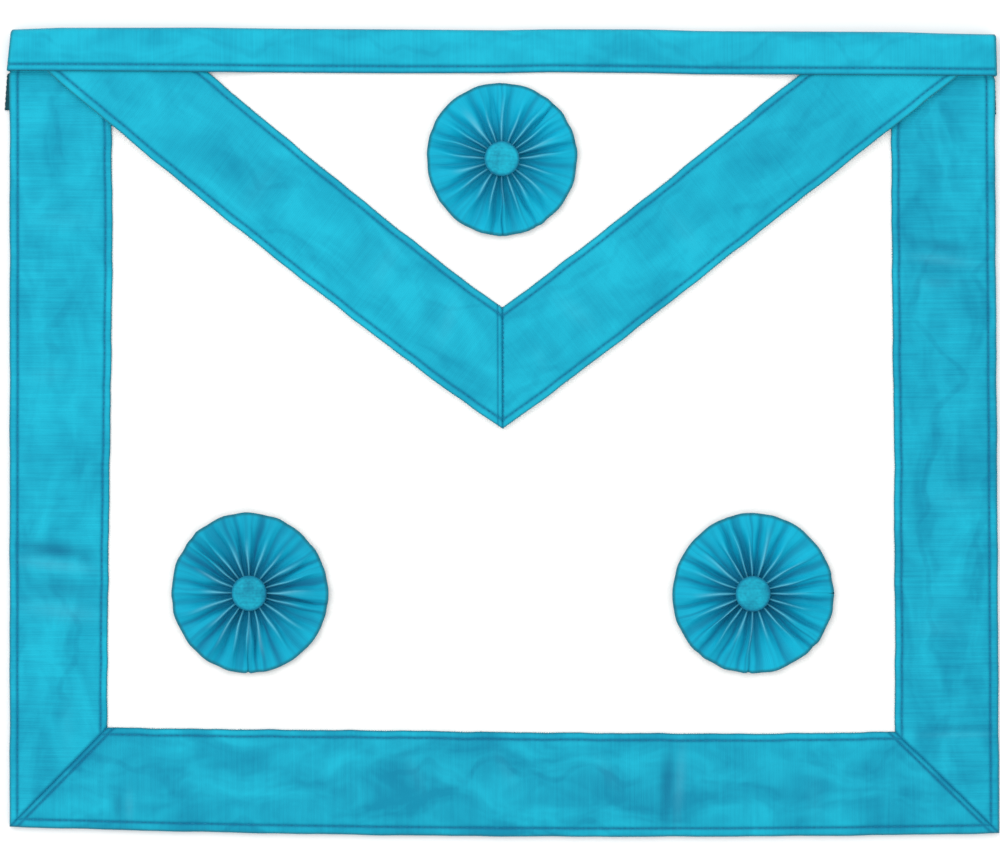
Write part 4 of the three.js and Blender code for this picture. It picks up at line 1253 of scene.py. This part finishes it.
def ribbon_cloth(name, figure, seed, slub, brightness, lines=0.1, light=RIBBON_LIGHT, fold=0.75):
    """Watered ribbon: colour between shade and light by the figure's clouds, the single threads and the broad
    mottle, with ribs and clouds as bump. Over that: greyer edges and folds, for wear and painted shade;
    painted shade along stitch rows, seams and creases; painted shade in the hollows of puckers and pleats,
    as strong as fold says; and painted highlights on ridges and crests."""
    material, tree, shader, where, pattern = new_material(name)
    weave = placed(tree, RIBBED_WEAVE, Vector=pattern, Pitch=0.00072)
    water = placed(tree, WATERED_FIGURE, Vector=pattern, Seed=seed)
    broad = placed(tree, MOTTLE, Vector=where, Size=11.0)["Value"]
    tone = swayed(tree, RIBBON_TONE + brightness, water["Cloud"], figure)
    tone = swayed(tree, tone, weave["Slub"], slub * 4)
    tone = swayed(tree, tone, broad, 1.5)
    tone = calculate(tree, "MULTIPLY_ADD", water["Line"], -lines * figure, tone)
    tone = swayed(tree, tone, weave["Height"], 0.06, clamp=True)
    colour = mix_colours(tree, tone, RIBBON_SHADE, light)
    # Painted shade in the hollows of puckers and pleats, as strong as fold.
    colour = tinted(tree, colour, mark(tree, "shade"), fold, RIBBON_PAINTED_SHADE)
    # Painted highlights on the puckers' lit ridges and the pleats' crests.
    colour = tinted(tree, colour, broken_up_mark(tree, pattern, "crest", 700.0, 0.5), 0.7, RIBBON_PAINTED_HIGHLIGHT)
    # Painted shade along stitch rows, seams and creases.
    colour = tinted(tree, colour, broken_up_mark(tree, pattern, "row", 1200.0, 0.7), 0.62, RIBBON_PAINTED_SHADE)
    # Greyer edges and folds: their wear, and painted shade.
    edges = broken_up_mark(tree, pattern, "edge", 900.0, 0.8)
    colour = tinted(tree, colour, edges, 0.85, RIBBON_EDGE_WEAR_AND_SHADE)
    roughness = calculate(tree, "MULTIPLY_ADD", water["Cloud"], -0.3, 0.74)
    roughness = calculate(tree, "MULTIPLY_ADD", edges, 0.15, roughness)
    shader.inputs["Sheen Weight"].default_value = 0.03
    shader.inputs["Sheen Roughness"].default_value = 0.4
    height = calculate(tree, "MULTIPLY_ADD", weave["Slub"], 0.5, weave["Height"])
    height = calculate(tree, "MULTIPLY_ADD", water["Cloud"], 0.8, height)
    finish(tree, shader, colour, roughness, 0.12, height, 0.4, 0.00014)
    return material


def button_cloth(name, brightness):
    """Ribbon cloth drawn tight over a button: fine ribs straight across, a soft mottle and painted shade at
    its rim.
    """
    material, tree, shader, where, pattern = new_material(name)
    weave = placed(tree, RIBBED_WEAVE, Vector=turned(tree, pattern), Pitch=0.0006)
    broad = placed(tree, MOTTLE, Vector=where, Size=130.0)["Value"]
    tone = swayed(tree, brightness, weave["Slub"], 0.8)
    tone = swayed(tree, tone, broad, 2.6)
    tone = swayed(tree, tone, weave["Height"], 0.16, clamp=True)
    colour = mix_colours(tree, tone, BUTTON_SHADE, BUTTON_LIGHT)
    # Painted shade at the rim.
    colour = tinted(tree, colour, broken_up_mark(tree, pattern, "edge", 500.0, 0.4), 0.55, RIBBON_PAINTED_SHADE)
    roughness = calculate(tree, "MULTIPLY_ADD", broad, 0.2, 0.5)
    shader.inputs["Sheen Weight"].default_value = 0.04
    finish(tree, shader, colour, roughness, 0.16, weave["Height"], 0.5, 0.00014)
    return material


def turned(tree, vector):
    """A pattern turned by a quarter, so that its ribs run from left to right."""
    split = put(tree, "ShaderNodeSeparateXYZ", {0: vector}).outputs
    return put(tree, "ShaderNodeCombineXYZ", {"X": split["Y"], "Y": split["X"], "Z": 0.0}).outputs[0]


def white_leather():
    """Smooth white leather: a fine pebbled grain from cells, pores from noise, and a faint warm mottle."""
    material, tree, shader, where, _ = new_material("white_leather")
    inputs = {"Vector": where, "Scale": 900.0}
    cells = put(tree, "ShaderNodeTexVoronoi", inputs, feature="DISTANCE_TO_EDGE").outputs[0]
    pebble = ramp(tree, cells, 0.0, 0.35)
    pores = noise(tree, where, 2400.0, 2.0)
    broad = placed(tree, MOTTLE, Vector=where, Size=9.0)["Value"]
    tone = calculate(tree, "MULTIPLY_ADD", pebble, 0.35, calculate(tree, "MULTIPLY", broad, 1.1), clamp=True)
    colour = mix_colours(tree, tone, LEATHER_SHADE, LEATHER_WHITE)
    roughness = calculate(tree, "MULTIPLY_ADD", pores, 0.25, 0.42)
    height = calculate(tree, "MULTIPLY_ADD", pores, 0.5, pebble)
    finish(tree, shader, colour, roughness, 0.3, height, 0.35, 0.00012)
    return material


def dark_webbing():
    """Dark webbing: ribs one way crossed by finer ones the other way, with darker edges at its outer end and
    its foot.
    """
    material, tree, shader, where, pattern = new_material("dark_webbing")
    warp = placed(tree, RIBBED_WEAVE, Vector=pattern, Pitch=0.0011)
    weft = placed(tree, RIBBED_WEAVE, Vector=turned(tree, pattern), Pitch=0.0008)
    broad = placed(tree, MOTTLE, Vector=where, Size=50.0)["Value"]
    height = calculate(tree, "MAXIMUM", warp["Height"], calculate(tree, "MULTIPLY", weft["Height"], 0.85))
    tone = calculate(tree, "MULTIPLY_ADD", height, 0.5, calculate(tree, "SUBTRACT", broad, 0.3), clamp=True)
    colour = mix_colours(tree, tone, WEBBING_DARK, WEBBING_LIGHT)
    colour = tinted(tree, colour, broken_up_mark(tree, pattern, "edge", 800.0, 0.8), 0.8, WEBBING_EDGE)
    roughness = calculate(tree, "MULTIPLY_ADD", broad, 0.2, 0.65)
    finish(tree, shader, colour, roughness, 0.2, height, 0.8, 0.00025)
    return material


def sewing_thread(name, dark, light):
    """Thread: twisted strands as fine bump, and a colour that varies from stitch to stitch."""
    material, tree, shader, where, _ = new_material(name)
    twist = noise(tree, where, 4200.0, 2.0)
    tone = placed(tree, MOTTLE, Vector=where, Size=420.0)["Value"]
    colour = mix_colours(tree, swayed(tree, 0.5, tone, 3.0, clamp=True), dark, light)
    roughness = calculate(tree, "MULTIPLY_ADD", twist, 0.3, 0.5)
    finish(tree, shader, colour, roughness, 0.25, twist, 0.6, 0.0001)
    return material


def pale_floor():
    """The plain pale floor, seen from above only."""
    material, tree, shader, where, _ = new_material("pale_floor")
    tone = placed(tree, MOTTLE, Vector=where, Size=3.0)["Value"]
    tree.links.new(mix_colours(tree, tone, FLOOR_SHADE, FLOOR_LIGHT), shader.inputs["Base Color"])
    shader.inputs["Roughness"].default_value = 0.9
    shader.inputs["Specular IOR Level"].default_value = 0.1
    clear = tree.nodes.new("ShaderNodeBsdfTransparent").outputs[0]
    behind = tree.nodes.new("ShaderNodeNewGeometry").outputs["Backfacing"]
    seen = put(tree, "ShaderNodeMixShader", {0: behind, 1: shader.outputs[0], 2: clear}).outputs[0]
    output = next(node for node in tree.nodes if node.type == "OUTPUT_MATERIAL")
    tree.links.new(seen, output.inputs["Surface"])
    return material


# Each ribbon piece has its own brightness: the waistband lightest, then the V, the left border, the right
# border, and the bottom border darkest; the flap's rosette is lighter and has less painted shade than the
# lower two.
ribbon_upright = ribbon_cloth("ribbon_upright", 1.7, 3.0, slub=0.22, brightness=0.0)
ribbon_upright_right = ribbon_cloth("ribbon_upright_right", 1.8, 41.0, slub=0.24, brightness=-0.1)
ribbon_level = ribbon_cloth("ribbon_level", 2.2, 23.0, slub=0.14, brightness=-0.14, lines=0.08)
ribbon_band = ribbon_cloth("ribbon_band", 1.7, 27.0, slub=0.18, brightness=0.16)
ribbon_slanted = ribbon_cloth("ribbon_slanted", 1.5, 19.0, slub=0.12, brightness=0.1)
ribbon_slanted_right = ribbon_cloth("ribbon_slanted_right", 1.5, 57.0, slub=0.12, brightness=0.12)
GATHERED = dict(figure=0.6, seed=5.0, slub=0.14, lines=0.0, light=RUFFLE_LIGHT)
ribbon_gathered = ribbon_cloth("ribbon_gathered", brightness=0.1, fold=0.84, **GATHERED)
ribbon_gathered_top = ribbon_cloth("ribbon_gathered_top", brightness=0.18, fold=0.5, **GATHERED)
leather = white_leather()
webbing = dark_webbing()
# The flap's button is lighter than the lower two.
button_cloth_top = button_cloth("button_cloth_top", 0.72)
button_cloth_low = button_cloth("button_cloth_low", 0.5)
thread = sewing_thread("sewing_thread", THREAD_BLUE, THREAD_LIGHT)
fringe = sewing_thread("edge_thread", PICOT_TEAL, PICOT_LIGHT)


def dress(piece, material, slot, *nodes):
    """Gives a piece its material, lets it ride on the apron and lets it stand for its CAD nodes. slot is not
    used."""
    piece.data.materials.append(material)
    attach(piece, "root")
    if nodes:
        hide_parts(*nodes)
    return piece


# Leather
panel = dress(leather_panel(), leather, "white_leather", "panel")
flap = dress(leather_flap(), leather, "white_leather", "flap")

# Ribbons
border_left = dress(side_border("left"), ribbon_upright, "turquoise_ribbon", "border_left")
border_right = dress(side_border("right"), ribbon_upright_right, "turquoise_ribbon", "border_right")
border_bottom = dress(bottom_border(), ribbon_level, "turquoise_ribbon", "border_bottom")
arm_left = dress(flap_ribbon("arm_left", -1), ribbon_slanted, "turquoise_ribbon", "flap_ribbon_left")
arm_right = dress(flap_ribbon("arm_right", 1), ribbon_slanted_right, "turquoise_ribbon", "flap_ribbon_right")
band = dress(waistband(), ribbon_band, "turquoise_ribbon", "waistband")
band_ends = [
    dress(waistband_close(strip, sign), ribbon_band, "turquoise_ribbon")
    for strip, sign in (("left", -1), ("right", 1))
]

# Belt tabs
tab_left = dress(belt_tab("left", -1, TAB_PROUD_LEFT), webbing, "dark_webbing", "belt_tab_left")
tab_right = dress(belt_tab("right", 1, TAB_PROUD_RIGHT), webbing, "dark_webbing", "belt_tab_right")


def panel_top(x, y):
    """The leather panel's face."""
    return panel_under(x, y) + LEATHER


def flap_top(x, y):
    """The flap's face."""
    return flap_under(x, y) + LEATHER


# Rosettes and their buttons
JOIN = dict(angle=-90, start=0.3, depth=0.7, notch=0.5)
FAINT_JOIN = dict(angle=90, start=0.5, depth=0.4, notch=0.1)
FLAP_Y = TOP - FLAP_ROSETTE_DROP + 0.2
LOWER_Y = BOTTOM + LOWER_ROSETTE_RISE
LEFT_X = LOWER_ROSETTE_SHIFT - LOWER_ROSETTE_OFFSET - 0.5
RIGHT_X = LOWER_ROSETTE_SHIFT + LOWER_ROSETTE_OFFSET
FLAP_JOINS = [dict(JOIN, depth=0.9, notch=0.2), FAINT_JOIN]
# Each seat: middle, radius, what it lies on, seed, creases and ovalness
ROSETTES = {
    "flap": ((0, FLAP_Y), FLAP_ROSETTE_RADIUS * 1.005, flap_top, 0.4, FLAP_JOINS, -0.009),
    "left": ((LEFT_X, LOWER_Y), LOWER_ROSETTE_RADIUS * 0.994, panel_top, 1.7, [JOIN], -0.009),
    "right": ((RIGHT_X, LOWER_Y), LOWER_ROSETTE_RADIUS * 1.003, panel_top, 3.1, [JOIN], 0.007),
}
for seat, (centre, radius, ground, seed, creases, oval) in ROSETTES.items():
    ruffle = rosette(f"ruffle_{seat}", centre, radius, ground, seed, creases, oval)
    gathered_cloth = ribbon_gathered_top if seat == "flap" else ribbon_gathered
    dress(ruffle, gathered_cloth, "turquoise_ribbon", f"rosette_{seat}")
    button_cover = button_cloth_top if seat == "flap" else button_cloth_low
    dress(button(f"covered_button_{seat}", centre, ground), button_cover, "button_cloth", f"button_{seat}")

# Stitch rows
inner_foot = BOTTOM + BORDER_WIDTH
border_rows = [border_line(strip, FOLD_ROW, BOTTOM + 5, WAISTBAND_EDGE) for strip in ("left", "right")]
border_rows += [border_line(strip, INNER_ROW, inner_foot - 1, 118) for strip in ("left", "right")]
border_rows += [border_line("bottom", FOLD_ROW, 6 - SIDE, SIDE - 6)]
border_rows += [border_line("bottom", INNER_ROW, BORDER_WIDTH - SIDE, SIDE - BORDER_WIDTH)]
border_rows += [mitre_line(sign, MITRE_ROW) for sign in (-1, 1)]
arm_insets = (STITCH_INSET, FLAP_RIBBON_WIDTH - STITCH_INSET)
arm_rows = [arm_line(arm, inward) for arm in ("arm_left", "arm_right") for inward in arm_insets]
band_x = np.linspace(0.6 - SIDE, SIDE - 0.6, 900)
band_z = waistband_face(np.clip(band_x, -FLAP_CORNER, FLAP_CORNER), np.full_like(band_x, BAND_ROW))
band_rows = [points_of(band_x, BAND_ROW + band_line(band_x, BAND_ROW), band_z)]
dress(stitches("border_stitches", border_rows, 1), thread, "turquoise_ribbon")
dress(stitches("flap_stitches", arm_rows, 2), thread, "turquoise_ribbon")
dress(stitches("seam_stitches", [seam_line(0.5)], 3, pitch=2.0, length=1.5), thread, "turquoise_ribbon")
dress(stitches("waistband_stitches", band_rows, 4), thread, "turquoise_ribbon")

# Woven edges
border_edges = [
    (border_line("left", BORDER_WIDTH, inner_foot, 112, EDGE_DROP), -1),
    (border_line("right", BORDER_WIDTH, inner_foot, 112, EDGE_DROP), 1),
    (border_line("bottom", BORDER_WIDTH, BORDER_WIDTH - SIDE, SIDE - BORDER_WIDTH, EDGE_DROP), 1),
]
arm_edges = [
    (arm_line("arm_left", 0.0, EDGE_DROP), 1),
    (arm_line("arm_left", FLAP_RIBBON_WIDTH, EDGE_DROP), -1),
    (arm_line("arm_right", 0.0, EDGE_DROP), -1),
    (arm_line("arm_right", FLAP_RIBBON_WIDTH, EDGE_DROP), 1),
]
dress(picots("border_picots", border_edges, 5), fringe, "turquoise_ribbon")
dress(picots("flap_picots", arm_edges, 6), fringe, "turquoise_ribbon")


# The floor, the light and the camera, in metres and watts
FLOOR_HALF = 2.0
FLOOR_DROP = 0.00005  # below the apron, so that the two don't share a plane
WORLD_LIGHT = 0.98
KEY_PLACE = (-0.6, 0.65, 1.85)
KEY_SIZE = 2.0
KEY_POWER = 16
CAMERA_PLACE = (-0.0006, 0.00282, 2.295)
CAMERA_LENS = 200  # in millimetres, as is the sensor's width
CAMERA_SENSOR = 36


def floor():
    """A plain square under the apron."""
    corners = np.array([[-1, -1, 0], [1, -1, 0], [1, 1, 0], [-1, 1, 0]])
    plane = mesh_object("floor", FLOOR_HALF * corners - [0, 0, FLOOR_DROP], [np.array([[0, 1, 2, 3]])])
    plane.data.materials.append(pale_floor())


def soft_light(name, place, size, power):
    """A large square studio light that faces the apron's middle."""
    light = bpy.data.lights.new(name, "AREA")
    light.size = size
    light.energy = power
    holder = bpy.data.objects.new(name, light)
    holder.location = place
    holder.rotation_euler = (-Vector(place)).to_track_quat("-Z", "Y").to_euler()
    bpy.context.scene.collection.objects.link(holder)


def studio():
    """Pale light from all round, and a soft key light from the upper left."""
    world = bpy.data.worlds.new("studio")
    world.use_nodes = True
    background = world.node_tree.nodes["Background"]
    background.inputs["Color"].default_value = (1, 1, 1, 1)
    background.inputs["Strength"].default_value = WORLD_LIGHT
    bpy.context.scene.world = world
    bpy.context.scene.view_settings.view_transform = "Standard"
    soft_light("key", KEY_PLACE, KEY_SIZE, KEY_POWER)


def camera():
    """A camera straight above the apron, as far away as makes the photograph's frame 412 mm wide."""
    lens = bpy.data.cameras.new("camera")
    lens.lens = CAMERA_LENS
    lens.sensor_width = CAMERA_SENSOR
    holder = bpy.data.objects.new("camera", lens)
    holder.location = CAMERA_PLACE
    bpy.context.scene.collection.objects.link(holder)
    bpy.context.scene.camera = holder


floor()
studio()
camera()
